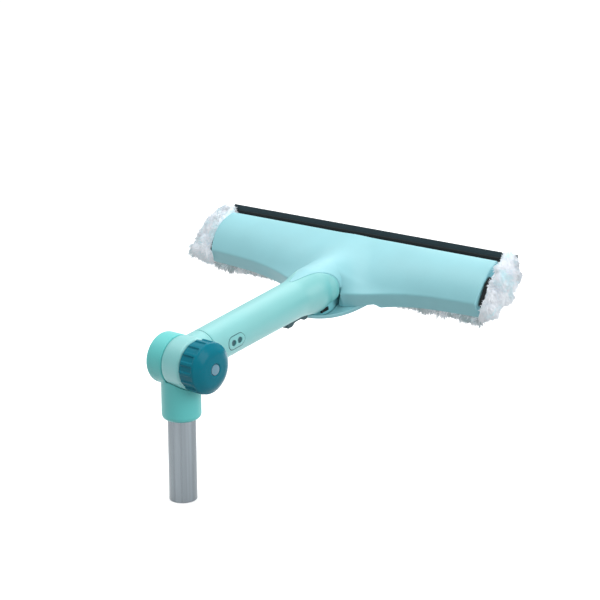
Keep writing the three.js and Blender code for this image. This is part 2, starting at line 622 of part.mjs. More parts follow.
// Height of the housing's top face over the plate.
function topHeight(x, y) {
  const share = -y / ridgeDepth(x);
  const crowned = CROWN * (1 - (2 * share - 1) ** 2) + 0.5 - 2 * share + NECK_DIP * share * Math.exp(-((x / 45) ** 2));
  return softMax(crowned, hoodHeight(x, y), HOOD_BLEND);
}

// The same face taken inwards by the wall.
function innerHeight(x, y) {
  const near = [-SHELL_WALL, 0, SHELL_WALL];
  return Math.min(...near.flatMap((dx) => near.map((dy) => topHeight(x + dx, y + dy)))) - SHELL_WALL;
}

const chinDepth = (x) => {
  const t = Math.min(Math.abs(x) / CHIN_HALF, 1);
  return HEAD_DEPTH + BEVEL_DRAFT + 3 + (CHIN_REACH - HEAD_DEPTH - BEVEL_DRAFT - 3) * (1 - t ** 1.6) ** 1.45;
};

// Underside of the chin: level with the plate, then rising towards the tip.
const chinFloor = (y) => -HEAD_THICK - 0.8 + 16 * Math.max((-y - 66) / (CHIN_REACH - 66), 0) ** 2.2;

// Where the front wall ends: on the underside, or on the chin's lip near the neck.
const wallFoot = (x) => {
  const onChin = chinFloor(-ridgeDepth(x) - BEVEL_DRAFT) + LIP_HEIGHT + GAP;
  return THREE.MathUtils.lerp(onChin, -HEAD_THICK, smooth(CHIN_HALF - 2, CHIN_HALF + 4, Math.abs(x)));
};

// Places along X to draw sections at, mirrored about the middle.
const STATIONS = [0, 6, 12, 17, 20, 22.5, 25, 28, 32, 37, 43, 50, 58, 68, 80, 94, 110, 130];
const stations = (end, list = STATIONS) => {
  const inside = list.filter((x) => x < end - 1);
  return [...inside, end].reverse().map((x) => -x).concat(inside.slice(1), end);
};

// One section of the housing; the inner one is taken inwards by the wall.
function housingSection(x, isInner) {
  const shrink = isInner ? SHELL_WALL : 0;
  const height = isInner ? innerHeight : topHeight;
  const depth = ridgeDepth(x) - shrink;
  const foot = isInner ? -HEAD_THICK - 12 : wallFoot(x);
  const points = [[-shrink, foot], [-shrink, height(x, -shrink) - 1]];
  const count = isInner ? 9 : 14;
  for (let k = 0; k <= count; k += 1) {
    const y = -shrink - 0.8 - ((depth - shrink - 2.2) * k) / count;
    points.push([y, height(x, y)]);
  }
  const ridge = height(x, -depth);
  const lean = (BEVEL_DRAFT * (ridge - 1 - foot)) / (HEAD_THICK + 1);
  points.push([-depth - 0.2, ridge - 1.1], [-depth - lean, foot]);
  return points.map(([y, z]) => {
    const drop = THREE.MathUtils.clamp(-(z + 1) / HEAD_THICK, 0, 1);
    const across = THREE.MathUtils.clamp((2 * -y) / HEAD_DEPTH - 1, -1, 1);
    const spread = 1 + (END_DRAFT * drop + END_BULGE * (1 - across ** 2)) / HEAD_HALF;
    return new THREE.Vector3(x * spread, y, z);
  });
}

const CHEEK_SIDE = BELL_R + 4; // outside of the hood's cheeks beside the arm
const CHEEK_END = ARM_END - 4;
const mouthStart = BELL_START - 60;

// Outline of the space in front of the hood's tongue, seen along the arm's upward axis.
const mouthOutline = () => [new THREE.Vector2(CHEEK_SIDE, CHEEK_END), new THREE.Vector2(SEAM_SIDE, CHEEK_END),
  ...seamCurve(0), new THREE.Vector2(-SEAM_SIDE, CHEEK_END), new THREE.Vector2(-CHEEK_SIDE, CHEEK_END),
  new THREE.Vector2(-CHEEK_SIDE, mouthStart), new THREE.Vector2(CHEEK_SIDE, mouthStart)];

function armEnvelope(grow, end) {
  return revolve([[0, ARM_START], ...armProfile(grow).map(([r, y, e], i) =>
    (i === 3 ? [r, end] : [r, y, e ?? 0])), [0, end]], 'y', 44, 3);
}

// Sleeve of the hood, flush with the arm's outside.
function sleeve() {
  const end = ARM_END + 13;
  const start = SEAM_TIP - 3;
  const outer = revolve([[0, start], [ARM_R + ARM_SWELL * 0.9, start], ...armProfile(0).slice(1).map(([r, y, e], i) =>
    (i === 2 ? [r, end] : [r, y, e ?? 0])), [0, end]], 'y', 48);
  return solid(outer).subtract(solid(box(-2 * BELL_R, 2 * BELL_R, start - 1, end + 1, -2 * BELL_R, HOOD_FOOT + 1)));
}

function topShell() {
  const outer = solid(loft(stations(HEAD_HALF).map((x) => housingSection(x, false))));
  const inner = solid(loft(stations(HEAD_HALF - SHELL_WALL).map((x) => housingSection(x, true))));
  const sleeveIn = toHeadSolid(sleeve());
  const flangeRoom = armToHead(pin(FLANGE_R + 0.5, ARM_END - 2, ARM_END + 18, 'y', 44));
  const tongue = armToHead(prismZ(mouthOutline(), 0, 60));
  const under = armToHead(box(-SEAM_SIDE, SEAM_SIDE, mouthStart, SEAM_END, -60, 0.01));
  const front = armToHead(box(-CHEEK_SIDE, CHEEK_SIDE, mouthStart, CHEEK_END, -60, 0.01));
  const posts = SHELL_SCREWS.map(([x, y]) => {
    const top = topHeight(x, y) - 1;
    return solid(pin(POST_R, -HEAD_THICK + BASE_THICK + GAP, top, 'z', 20).translate(x, y, 0))
      .subtract(solid(screwRoom(x, y)));
  });
  return posts.reduce((whole, post) => whole.add(post), outer.add(sleeveIn).subtract(inner).subtract(solid(flangeRoom)))
    .subtract(solid(armToHead(armEnvelope(-TONGUE_THICK, SEAM_END))))
    .subtract(solid(tongue))
    .subtract(solid(under))
    .subtract(solid(front));
}

// Depth at which the front wall's inner face stands on the chin.
const wallInside = (x) => ridgeDepth(x) - SHELL_WALL - 1;

function chinSection(x) {
  const front = chinDepth(x);
  const inside = Math.min(wallInside(x), front - 3);
  const bottom = [];
  const top = [];
  const count = 7;
  for (let k = 0; k <= count; k += 1) {
    const y = -inside - ((front - 1.6 - inside) * k) / count;
    bottom.push([y, chinFloor(y)]);
    top.unshift([y, chinFloor(y) + LIP_HEIGHT]);
  }
  const edge = chinFloor(-front);
  const start = -SHELL_WALL - GAP;
  const points = [[start, -HEAD_THICK], [-inside + 1, -HEAD_THICK - 0.2], ...bottom, [-front, edge + 1.5],
    [-front, edge + LIP_HEIGHT - 1], ...top, [-inside + 0.2, -HEAD_THICK + BASE_THICK], [start, -HEAD_THICK + BASE_THICK]];
  return points.map(([y, z]) => new THREE.Vector3(x, y, z));
}

// Room in the chin for the keel of the neck, leaving a rim round it.
function keelRoom(play) {
  const half = KEEL_WIDTH / 2 + KEEL_GAP;
  const section = (x) => {
    const front = chinDepth(x) - LIP_RIM - play;
    const points = [];
    for (let k = 0; k <= 8; k += 1) {
      const y = -46 - ((front - 46) * k) / 8;
      points.push(new THREE.Vector3(x, y, chinFloor(y) + BASE_THICK + play));
    }
    return [...points, new THREE.Vector3(x, -front, 40), new THREE.Vector3(x, -46, 40)];
  };
  return loft([-1, -0.75, -0.5, -0.25, 0.25, 0.5, 0.75, 1].map((share) => section(share * half)));
}

function screwRoom(x, y) {
  const from = -HEAD_THICK - 1;
  return revolve([[0, from], [SCREW_HEAD_R + GAP, from], [SCREW_HEAD_R + GAP, -HEAD_THICK + 0.2],
    [SCREW_R + GAP, -HEAD_THICK + 1.7], [SCREW_R + GAP, -HEAD_THICK + SCREW_LENGTH + 1], [0, -HEAD_THICK + SCREW_LENGTH + 1]],
    'z', 18).translate(x, y, 0);
}

function baseScrew(x, y) {
  const from = -HEAD_THICK;
  const head = revolve([[0, from], [SCREW_HEAD_R, from], [SCREW_R, from + 1.5], [SCREW_R, from + SCREW_LENGTH - 1],
    [0, from + SCREW_LENGTH]], 'z', 14);
  const cross = [0, Math.PI / 2].map((turn) => box(-0.3, 0.3, -1.5, 1.5, from - 1, from + 0.8).rotateZ(turn));
  return cross.reduce((whole, slot) => whole.subtract(solid(slot)), solid(head)).translate([x, y, 0]);
}

function baseShell() {
  const half = HEAD_HALF + END_DRAFT - SHELL_WALL - 1.2;
  const front = HEAD_DEPTH - SHELL_WALL + 1.4;
  const plate = box(-half, half, -front, -SHELL_WALL - GAP, -HEAD_THICK, -HEAD_THICK + BASE_THICK);
  const chin = loft(stations(CHIN_HALF, [0, 8, 15, 20, 24, 28, 32, 36, 40, 44, 48, 50.5]).map(chinSection));
  let whole = solid(plate).add(solid(chin)).subtract(solid(keelRoom(0)));
  for (const side of [-1, 1]) {
    const root = side * (half - 12);
    const tip = side * (half + WING_REACH);
    const outline = rounded([[root, -HEAD_DEPTH + 3], [side * half, -HEAD_DEPTH + 3], [tip, -HEAD_DEPTH + 12, 5],
      [tip, -9, 5], [side * half, -4], [root, -4]], 3);
    const riser = box(Math.min(root, root + side * 6), Math.max(root, root + side * 6), -HEAD_DEPTH + 6, -8,
      -HEAD_THICK - 1, -HEAD_THICK + 1);
    whole = whole.add(solid(prismZ(outline, -HEAD_THICK - WING_THICK, -HEAD_THICK - GAP))).add(solid(riser));
  }
  return [...SHELL_SCREWS, ...NECK_SCREWS].reduce((body, [x, y]) => body.subtract(solid(screwRoom(x, y))), whole);
}

// ---------------------------------------------------------------- neck socket, in the arm's frame
function neckSocket() {
  const inner = SPIGOT_R - SPIGOT_WALL;
  const flangeAt = ARM_END + 1.5;
  const tube = revolve([[inner, NECK_SPIGOT_START], [SPIGOT_R, NECK_SPIGOT_START, 1], [SPIGOT_R, flangeAt],
    [FLANGE_R, flangeAt], [FLANGE_R, flangeAt + FLANGE_THICK], [inner, flangeAt + FLANGE_THICK]], 'y', 40);
  const nose = Array.from({ length: 17 }, (_, k) => (k / 8 - 1) * (Math.PI / 2)).map((turn) =>
    new THREE.Vector2((KEEL_WIDTH / 2) * Math.sin(turn), KEEL_NOSE - KEEL_REACH - KEEL_NOSE * Math.cos(turn)));
  const keel = solid(headToArm(prismZ([new THREE.Vector2(-KEEL_WIDTH / 2, -50), ...nose, new THREE.Vector2(KEEL_WIDTH / 2, -50)],
    -HEAD_THICK, 30)))
    .intersect(solid(headToArm(keelRoom(0.5))))
    .intersect(solid(prismX(underCut(GAP + 0.1), -KEEL_WIDTH, KEEL_WIDTH)));
  const hook = box(-4.2, 4.2, NECK_SPIGOT_START, NECK_SPIGOT_START + 4, -SPIGOT_R - 1.2, -inner - 0.6);
  const cheeks = solid(headToArm(box(-15, 15, -62, -34, -HEAD_THICK + BASE_THICK + GAP, 4)))
    .subtract(solid(headToArm(box(-7, 7, -70, -30, -HEAD_THICK + BASE_THICK + GAP + 3, 5))))
    .intersect(solid(box(-20, 20, flangeAt + 0.5, flangeAt + 40, -40, 8)));
  let whole = solid(tube).add(keel).add(cheeks).add(solid(hook));
  for (const side of [-1, 1]) {
    const wall = (side * KEEL_WIDTH) / 2;
    const slot = box(Math.min(wall - side * 3, wall + side), Math.max(wall - side * 3, wall + side),
      KEEL_SLOT_AT - KEEL_SLOT_LENGTH / 2, KEEL_SLOT_AT + KEEL_SLOT_LENGTH / 2,
      -KEEL_SLOT_DEPTH - KEEL_SLOT_HEIGHT / 2, -KEEL_SLOT_DEPTH + KEEL_SLOT_HEIGHT / 2);
    const slit = box(side * 4.9 - 0.5, side * 4.9 + 0.5, NECK_SPIGOT_START - 1, NECK_SPIGOT_START + 20, -SPIGOT_R - 1, -8);
    whole = whole.subtract(solid(slot)).subtract(solid(slit));
  }
  return NECK_SCREWS.reduce((body, [x, y]) => body.subtract(solid(headToArm(screwRoom(x, y)))), whole);
}

// ---------------------------------------------------------------- blade, rail and cover, in the head's frame
const bladeTurn = rad(BLADE_TILT);

// Prism along X of an outline given along and across the blade, measured back from its tip.
const alongBlade = (outline, half) =>
  prismX(rounded(outline, 3), -half, half).rotateX(bladeTurn).translate(0, BLADE_TIP_Y, BLADE_TIP_Z);

const RAIL_LIP = -BLADE_WIDTH + RAIL_DEPTH; // where the rail lets go of the blade

function rubberBlade() {
  const t = BLADE_THICK / 2;
  const blade = alongBlade([[0, -0.5], [0, 0.5], [-5, t], [-BLADE_WIDTH, t], [-BLADE_WIDTH, -t], [-5, -t]], BLADE_HALF);
  const notch = (side) => alongBlade([[RAIL_LIP + GAP, -5], [RAIL_LIP + GAP, 5], [-20, 5], [-20, -5]],
    (BLADE_HALF - RAIL_HALF) / 2 + 1).translate(side * ((BLADE_HALF + RAIL_HALF) / 2 + 1), 0, 0);
  return solid(blade).subtract(solid(notch(-1))).subtract(solid(notch(1)));
}

function bladeRail() {
  const h = RAIL_THICK / 2;
  const back = -BLADE_WIDTH - 1.4;
  const channel = alongBlade([[RAIL_LIP, -h, 0.6], [RAIL_LIP, h, 0.6], [back, h, 0.6], [back, -h, 0.6]], RAIL_HALF);
  const room = BLADE_THICK / 2 + GAP;
  const slot = alongBlade([[2, -room], [2, room], [-BLADE_WIDTH - GAP, room], [-BLADE_WIDTH - GAP, -room]], RAIL_HALF + 1);
  const web = box(-RAIL_HALF, RAIL_HALF, GAP, 5, -HEAD_THICK + 0.4, -8);
  return solid(channel).add(solid(web)).subtract(solid(slot))
    .subtract(solid(box(-RAIL_HALF - 1, RAIL_HALF + 1, -10, GAP, -40, 10)));
}

function railCap(side) {
  const h = RAIL_THICK / 2 + 0.3;
  const back = -BLADE_WIDTH - 1.8;
  const front = RAIL_LIP - 0.2;
  const cap = alongBlade([[front, -h, 1], [front, h, 1], [back, h, 1], [back, -h, 1]], RAIL_CAP / 2);
  return cap.translate(side * (RAIL_HALF + GAP + RAIL_CAP / 2), 0, 0);
}

const coverTop = -HEAD_THICK - WING_THICK - GAP;

function coverPad() {
  const section = (x) => {
    const edge = rounded([[-2, coverTop, 1.5], [-2, coverTop - COVER_THICK + 1.5, 3.5], [-HEAD_DEPTH - 4, coverTop - COVER_THICK, 4],
      [-HEAD_DEPTH - 6, coverTop - 1, 2], [-HEAD_DEPTH - 3, coverTop, 1]], 3);
    return edge.map((p) => new THREE.Vector3(x, p.x, p.y));
  };
  return loft([-COVER_HALF + 0.2, COVER_HALF - 0.2].map(section));
}

function coverEnd(side) {
  const section = (share, shrink) => {
    const x = side * (COVER_HALF + GAP + share * COVER_END);
    const low = coverTop - COVER_THICK + 2 + shrink;
    const edge = rounded([[9 - shrink, 1 - shrink, 3], [3 - shrink, low + 3, 2.5], [-HEAD_DEPTH - 4 + shrink, low, 2.5],
      [-HEAD_DEPTH - 4 + shrink, -8 - shrink, 3], [-22, 7 - shrink, 12]], 3);
    return edge.map((p) => new THREE.Vector3(x, p.x, p.y));
  };
  const whole = solid(loft([section(0, 1.5), section(0.2, 0), section(0.6, 0), section(0.88, 2), section(1, 5)]));
  const inner = COVER_HALF - 5;
  const outer = COVER_HALF + WING_REACH + 1;
  const wingRoom = box(Math.min(side * inner, side * outer), Math.max(side * inner, side * outer),
    -HEAD_DEPTH + 2, -3, -HEAD_THICK - WING_THICK - GAP, -HEAD_THICK);
  const bladeRoom = alongBlade([[4, -3.6], [4, 3.6], [-BLADE_WIDTH - 3, 3.6], [-BLADE_WIDTH - 3, -3.6]], BLADE_HALF + 1);
  const railRoom = box(-BLADE_HALF - 1, BLADE_HALF + 1, -0.6, 12, -18, -2);
  return whole.subtract(solid(wingRoom)).subtract(solid(bladeRoom)).subtract(solid(railRoom));
}

// Upright clip at each end of the base that holds the cover's pocket.
function coverClip(side) {
  const foot = -HEAD_THICK - GAP + 0.02;
  const outline = rounded([[-HEAD_DEPTH + 1.5, foot], [-HEAD_DEPTH + 1.5, -4, 2], [-HEAD_DEPTH + 8, -0.8, 3], [-26, 3.6, 4],
    [-19, 3.2, 2], [-17, foot]], 3);
  const ends = [side * (COVER_HALF - CLIP_THICK), side * COVER_HALF].sort((a, b) => a - b);
  return prismX(outline, ...ends);
}

function gripStrip(side) {
  const ends = [side * STRIP_START, side * (HEAD_HALF - 16.6)].sort((a, b) => a - b);
  return box(...ends, -STRIP_FRONT, -STRIP_BACK, -HEAD_THICK - 1.2, -HEAD_THICK - GAP);
}

// ---------------------------------------------------------------- assembly
piece('pole_tube', poleTube(), ALUMINIUM, squeegee);
piece('pole_socket', poleSocket(), SOCKET_MINT, joint);
piece('tube_screw', tubeScrew().translate([0, 0, socketBottom + TUBE_GRIP / 2]), STEEL, joint);
piece('clamp_bolt', clampBolt(), STEEL, joint);
piece('bolt_cap', boltCap(), SOCKET_MINT, joint);
piece('friction_disc', ring(DISC_HOLE, DISC_R, DRUM_SPLIT - DISC_THICK / 2, DRUM_SPLIT + DISC_THICK / 2, 'x', 36),
  FRICTION, joint);
piece('thrust_washer', ring(BOLT_R + GAP, WASHER_R, rightFace + GAP / 2, rightFace + GAP / 2 + WASHER_THICK, 'x', 32),
  STEEL, joint);
piece('clamp_knob', clampKnob(), DEEP_BLUE, joint);
piece('knob_insert', knobInsert(), BRASS, joint);
piece('knob_cap', knobCap(), CAP_BLUE, joint);

piece('arm_knuckle', armKnuckle(), MINT, arm);
piece('arm_grip', armGrip(), MINT, arm);
piece('click_button', clickButton(), MINT, arm);
piece('button_spring', buttonSpring(), STEEL, arm);
piece('release_slider', releaseSlider(), SLATE, arm);
piece('latch_bar', latchBar(), SLATE, arm);
piece('latch_spring', latchSpring(), STEEL, arm);
piece('neck_socket', neckSocket(), PALE_BLUE, arm);

piece('top_shell', topShell(), PALE_BLUE, head);
piece('base_shell', baseShell(), PALE_BLUE, head);
SHELL_SCREWS.forEach(([x, y], i) => piece(`shell_screw_${i + 1}`, baseScrew(x, y), STEEL, head));
NECK_SCREWS.forEach(([x, y], i) => piece(`neck_screw_${i + 1}`, baseScrew(x, y), STEEL, head));
piece('blade_rail', bladeRail(), BLACK, head);
piece('rubber_blade', rubberBlade(), RUBBER, head);
piece('rail_cap_left', railCap(-1), BLACK, head);
piece('rail_cap_right', railCap(1), BLACK, head);
piece('cover_clip_left', coverClip(-1), BLACK, head);
piece('cover_clip_right', coverClip(1), BLACK, head);
piece('grip_strip_left', gripStrip(-1), HOOK, head);
piece('grip_strip_right', gripStrip(1), HOOK, head);
piece('cover_pad', coverPad(), FIBRE, head);
piece('cover_end_left', coverEnd(-1), FIBRE, head);
piece('cover_end_right', coverEnd(1), FIBRE, head);

export default squeegee;
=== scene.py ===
# %% [markdown]
# # A window cleaning squeegee
#
# The real thing is a two-sided head on a grip arm: a rubber blade on the back edge and a microfibre cover
# underneath. The arm turns on a clamp joint at the top of an aluminium pole. This lesson loads the solid model
# as a frame, then dresses each visible piece with finer shapes and real finishes.

# %% Load the frame
import math
import bmesh
import bpy
import numpy as np
from mathutils import Matrix, Vector, noise


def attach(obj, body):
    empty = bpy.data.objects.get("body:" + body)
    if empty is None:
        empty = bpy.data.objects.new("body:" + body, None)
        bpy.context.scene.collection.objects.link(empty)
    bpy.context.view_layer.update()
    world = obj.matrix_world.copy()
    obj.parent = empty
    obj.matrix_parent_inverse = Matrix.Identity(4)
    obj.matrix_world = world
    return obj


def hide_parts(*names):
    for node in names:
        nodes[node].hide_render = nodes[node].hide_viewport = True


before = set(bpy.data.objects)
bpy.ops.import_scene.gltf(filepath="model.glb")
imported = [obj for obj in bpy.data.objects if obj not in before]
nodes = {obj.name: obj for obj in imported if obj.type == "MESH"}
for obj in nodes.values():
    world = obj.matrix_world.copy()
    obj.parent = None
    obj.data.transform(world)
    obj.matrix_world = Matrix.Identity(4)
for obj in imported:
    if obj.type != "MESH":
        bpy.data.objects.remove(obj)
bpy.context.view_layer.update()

# %% [markdown]
# ## Frames
#
# Every piece is drawn in millimetres in the frame where it is simplest: the pole's, the arm's or the head's.
# One matrix each takes it to the row frame in metres. Multiplying matrices from left to right reads like
# directions: up to the tilt axis, lean back with the arm, out to the head, lean again with the plate.

# %% Frames
AXIS_HEIGHT = 122.0    # tilt axis above the pole's lower end
ARM_RISE = 8.45        # degrees
EDGE_REACH, EDGE_RISE = 244.7, 27.7   # the head's back edge, along and above the arm
PLATE_TILT = 32.4      # degrees between plate and arm
METRES = Matrix.Scale(0.001, 4)
POLE = METRES
AXIS = METRES @ Matrix.Translation((0, 0, AXIS_HEIGHT))
ARM = AXIS @ Matrix.Rotation(math.radians(ARM_RISE), 4, "X")
HEAD_ON_ARM = (Matrix.Translation((0, EDGE_REACH, EDGE_RISE))
               @ Matrix.Rotation(math.radians(PLATE_TILT), 4, "X"))
HEAD = ARM @ HEAD_ON_ARM
print("head's back edge at", tuple(round(c, 4) for c in HEAD.translation))

# %% [markdown]
# ## Mesh helpers
#
# A mesh is a list of points and a list of faces that name points by number. Most moulded pieces come from
# three moves: spin a profile, push an outline into a prism, or skin a row of sections. Boolean modifiers
# then join and cut them, as tooling does.

# %% Mesh helpers
def linked(name, data):
    made = bpy.data.objects.new(name, data)
    bpy.context.scene.collection.objects.link(made)
    return made


def edit(mesh, change):
    """Opens a mesh for editing, makes the change and writes it back."""
    shape = bmesh.new()
    shape.from_mesh(mesh)
    change(shape)
    shape.to_mesh(mesh)
    shape.free()


def mesh_object(name, points, faces):
    def close_up(shape):
        bmesh.ops.remove_doubles(shape, verts=shape.verts, dist=1e-4)
        bmesh.ops.recalc_face_normals(shape, faces=shape.faces)

    mesh = bpy.data.meshes.new(name)
    mesh.from_pydata([tuple(p) for p in points], [], faces)
    edit(mesh, close_up)
    return linked(name, mesh)


def smooth(low, high, x):
    """0 below the low end, 1 above the high end, and an S curve between."""
    t = min(1.0, max(0.0, (x - low) / (high - low)))
    return t * t * (3 - 2 * t)


def rounded(corners, steps=6, closed=True):
    """The outline of [x, y, radius] corners, with an arc where a radius is given."""
    points, count = [], len(corners)
    for i, (x, y, *radius) in enumerate(corners):
        here = Vector((x, y))
        if not radius or not radius[0] or (not closed and i in (0, count - 1)):
            points.append(here)
            continue
        before = (Vector(corners[i - 1][:2]) - here).normalized()
        after = (Vector(corners[(i + 1) % count][:2]) - here).normalized()
        half = math.acos(max(-1.0, min(1.0, before.dot(after)))) / 2
        centre = here + (before + after).normalized() * radius[0] / math.sin(half)
        start = here + before * radius[0] / math.tan(half) - centre
        end = here + after * radius[0] / math.tan(half) - centre
        sweep = math.atan2(start.x * end.y - start.y * end.x, start.dot(end))
        for k in range(steps + 1):
            c, s = math.cos(sweep * k / steps), math.sin(sweep * k / steps)
            points.append(centre + Vector((start.x * c - start.y * s, start.x * s + start.y * c)))
    return points


def turn_to(axis, r, h, angle):
    """The point at radius r and angle round an axis, h along it."""
    u, v = r * math.cos(angle), r * math.sin(angle)
    return {"x": (h, u, v), "y": (v, h, u), "z": (u, v, h)}[axis]


def numbered(rows):
    """All the points of some rows in one list, and the rows again as numbers into it."""
    points, numbers = [], []
    for row in rows:
        numbers.append([len(points) + k for k in range(len(row))])
        points += row
    return points, numbers


def woven(rows):
    """Faces from each row of point numbers to the next. A row of one point makes a fan."""
    faces = []
    for a, b in zip(rows, rows[1:]):
        for k in range(max(len(a), len(b))):
            corners = a[k % len(a)], a[(k + 1) % len(a)], b[(k + 1) % len(b)], b[k % len(b)]
            face = list(dict.fromkeys(corners))
            if len(face) > 2:
                faces.append(face)
    return faces


def revolve(corners, axis, segments=144, steps=6):
    """A body spun from a closed profile of [radius, height, rounding] corners."""
    points, rows = numbered([
        [turn_to(axis, r, h, 2 * math.pi * k / segments) for k in range(1 if r < 1e-6 else segments)]
        for r, h in rounded(corners, steps)])
    return mesh_object("spun", points, woven(rows + rows[:1]))


def pin(radius, start, end, axis, segments=96):
    return revolve([[0, start], [radius, start], [radius, end], [0, end]], axis, segments)


def skin(sections):
    """A closed body through sections that have as many points each."""
    points, rows = numbered(sections)
    return mesh_object("skinned", points, [rows[0][::-1], rows[-1]] + woven(rows))


def prism(outline, axis, start, end):
    """A prism of a flat outline: (y, z) across X or (x, y) across Z."""
    return skin([[(h, *p) if axis == "x" else (*p, h) for p in outline] for h in (start, end)])


def block(x0, x1, y0, y1, z0, z1):
    x0, x1 = sorted((x0, x1))
    return prism([(x0, y0), (x1, y0), (x1, y1), (x0, y1)], "z", z0, z1)


def moved(body, matrix):
    body.data.transform(matrix)
    return body


def apply(body):
    """Keeps what the modifiers made and removes them."""
    graph = bpy.context.evaluated_depsgraph_get()
    mesh = bpy.data.meshes.new_from_object(body.evaluated_get(graph))
    body.modifiers.clear()
    body.data = mesh
    return body


def combine(body, operation, others):
    for other in others:
        step = body.modifiers.new("combine", "BOOLEAN")
        step.operation, step.solver, step.object = operation, "MANIFOLD", other
        apply(body)
        bpy.data.objects.remove(other)
    return body


def join(body, *others):
    return combine(body, "UNION", others)


def cut(body, *others):
    return combine(body, "DIFFERENCE", others)


def keep_inside(body, *others):
    return combine(body, "INTERSECT", others)


def moulded(body, grid, rounds=2):
    """Rebuilds a body on a fine grid and relaxes it, which rounds each edge as a mould does."""
    remesh = body.modifiers.new("grid", "REMESH")
    remesh.mode, remesh.voxel_size = "VOXEL", grid
    relax = body.modifiers.new("relax", "SMOOTH")
    relax.factor, relax.iterations = 0.5, rounds
    return apply(body)


def shade(mesh, sharp):
    """Smooth shading, with a hard line only where faces meet at more than this angle."""
    def mark(shape):
        for edge in shape.edges:
            if len(edge.link_faces) == 2:
                edge.smooth = edge.calc_face_angle(0) < math.radians(sharp)

    mesh.shade_smooth()
    edit(mesh, mark)


# %% [markdown]
# ## Finish helpers
#
# Colours are picked on a screen, in sRGB. Shaders add light, so they need linear values, and one function
# turns the first into the second. A second small function adds a node, its settings and its links.

# %% Finish helpers
def linear(code):
    """An sRGB hex colour as linear red, green, blue and alpha."""
    values = [int(code[i:i + 2], 16) / 255 for i in (1, 3, 5)]
    return [v / 12.92 if v <= 0.04045 else ((v + 0.055) / 1.055) ** 2.4 for v in values] + [1.0]


def add(tree, kind, sockets=None, **settings):
    """Adds a shader node. A socket takes a number or a colour, an output, or a node for its first output."""
    made = tree.nodes.new("ShaderNode" + kind)
    for name, value in settings.items():
        setattr(made, name, value)
    for name, value in (sockets or {}).items():
        if isinstance(value, bpy.types.Node):
            value = next(output for output in value.outputs if output.enabled)
        if isinstance(value, bpy.types.NodeSocket):
            tree.links.new(value, made.inputs[name])
        else:
            made.inputs[name].default_value = value
    return made


def new_material(name):
    material = bpy.data.materials.new(name)
    material.use_nodes = True
    material.node_tree.nodes.clear()
    return material, material.node_tree


def close_material(material, shader):
    add(material.node_tree, "OutputMaterial", {"Surface": shader})
    return material


def per_metre(millimetres):
    """The scale of a pattern whose features are this far apart."""
    return 1000.0 / millimetres


def tinted(base, share, lift=0.0):
    """A linear colour, darker or paler by a share."""
    return [min(1.0, c * share + lift) for c in base[:3]] + [1.0]


# %% [markdown]
# ## Moulded plastic
#
# The arm, the socket and the head are ABS, injection moulded in a tool with a fine satin texture. To the eye
# that is an even colour, a broad soft highlight and a faint grain. IOR is 1.53. The tool's grit is about
# 0.1 mm, too fine to show here, so it is drawn at 0.8 mm and kept shallow. A slower pattern shifts colour and
# gloss by a few percent, as handling does, and the corners are a touch paler where they rub. The arm has a
# clear coat as well, and the housing a trace of one, for the light that a satin skin catches at a low angle.

# %% Moulded plastic
GRIT, HANDLING = 0.8, 34.0   # millimetres between the features of the two patterns


def moulded_plastic(name, colour, roughness, depth=0.006, wear=0.12, specular=0.5, coat=0.0):
    material, tree = new_material(name)
    where = add(tree, "TexCoord").outputs["Object"]
    grit = add(tree, "TexNoise", {"Vector": where, "Scale": per_metre(GRIT), "Detail": 2.0})
    handling = add(tree, "TexNoise", {"Vector": where, "Scale": per_metre(HANDLING), "Detail": 3.0})
    base = linear(colour)
    tone = add(tree, "Mix", {"Factor": handling, "A": tinted(base, 0.93), "B": tinted(base, 1.05, 0.006)},
               data_type="RGBA")
    edges = add(tree, "MapRange", {"Value": add(tree, "NewGeometry").outputs["Pointiness"],
                                   "From Min": 0.53, "From Max": 0.62, "To Min": 0.0, "To Max": wear})
    worn = add(tree, "Mix", {"Factor": edges, "A": tone, "B": tinted(base, 1.15, 0.06)}, data_type="RGBA")
    gloss = add(tree, "MapRange", {"Value": handling, "From Min": 0.3, "From Max": 0.7,
                                   "To Min": roughness - 0.05, "To Max": roughness + 0.06})
    bump = add(tree, "Bump", {"Height": grit, "Strength": 0.35, "Distance": depth * 0.001})
    return close_material(material, add(tree, "BsdfPrincipled", {
        "Base Color": worn, "Roughness": gloss, "IOR": 1.53, "Specular IOR Level": specular, "Coat Weight": coat,
        "Coat Roughness": roughness, "Coat IOR": 1.65, "Normal": bump}))


MINT_ABS = moulded_plastic("abs_mint_satin", "#67bfbf", 0.50, specular=1.0, coat=0.9)
SOCKET_ABS = moulded_plastic("abs_socket_mint_satin", "#60ccca", 0.40)
SHELL_ABS = moulded_plastic("abs_pale_blue_satin", "#92d0d8", 0.44, specular=0.5, coat=0.15)
# painted light: the housing's pale blue made paler for the neck and keel, which sit in shade
NECK_PAINTED_LIGHT_ABS = moulded_plastic("abs_pale_blue_neck_painted_light", "#93e2ea", 0.42, specular=0.4)
KNOB_ABS = moulded_plastic("abs_deep_blue_polished", "#00788c", 0.2, depth=0.003, wear=0.06, specular=0.08)
CAP_ABS = moulded_plastic("abs_cap_blue_polished", "#6796aa", 0.26, depth=0.003)
# painted shade: a dark teal for the bottoms of the button's dimples and the gap round it
PAINTED_SHADE_TEAL = moulded_plastic("abs_painted_shade_teal", "#0d4f58", 0.45)
SLATE_ABS = moulded_plastic("abs_slate_satin", "#37545a", 0.45, specular=0.25)
BLACK_ABS = moulded_plastic("abs_black_satin", "#11181a", 0.45, specular=0.15)
print("plastics:", [m.name for m in bpy.data.materials if m.name.startswith("abs_")])
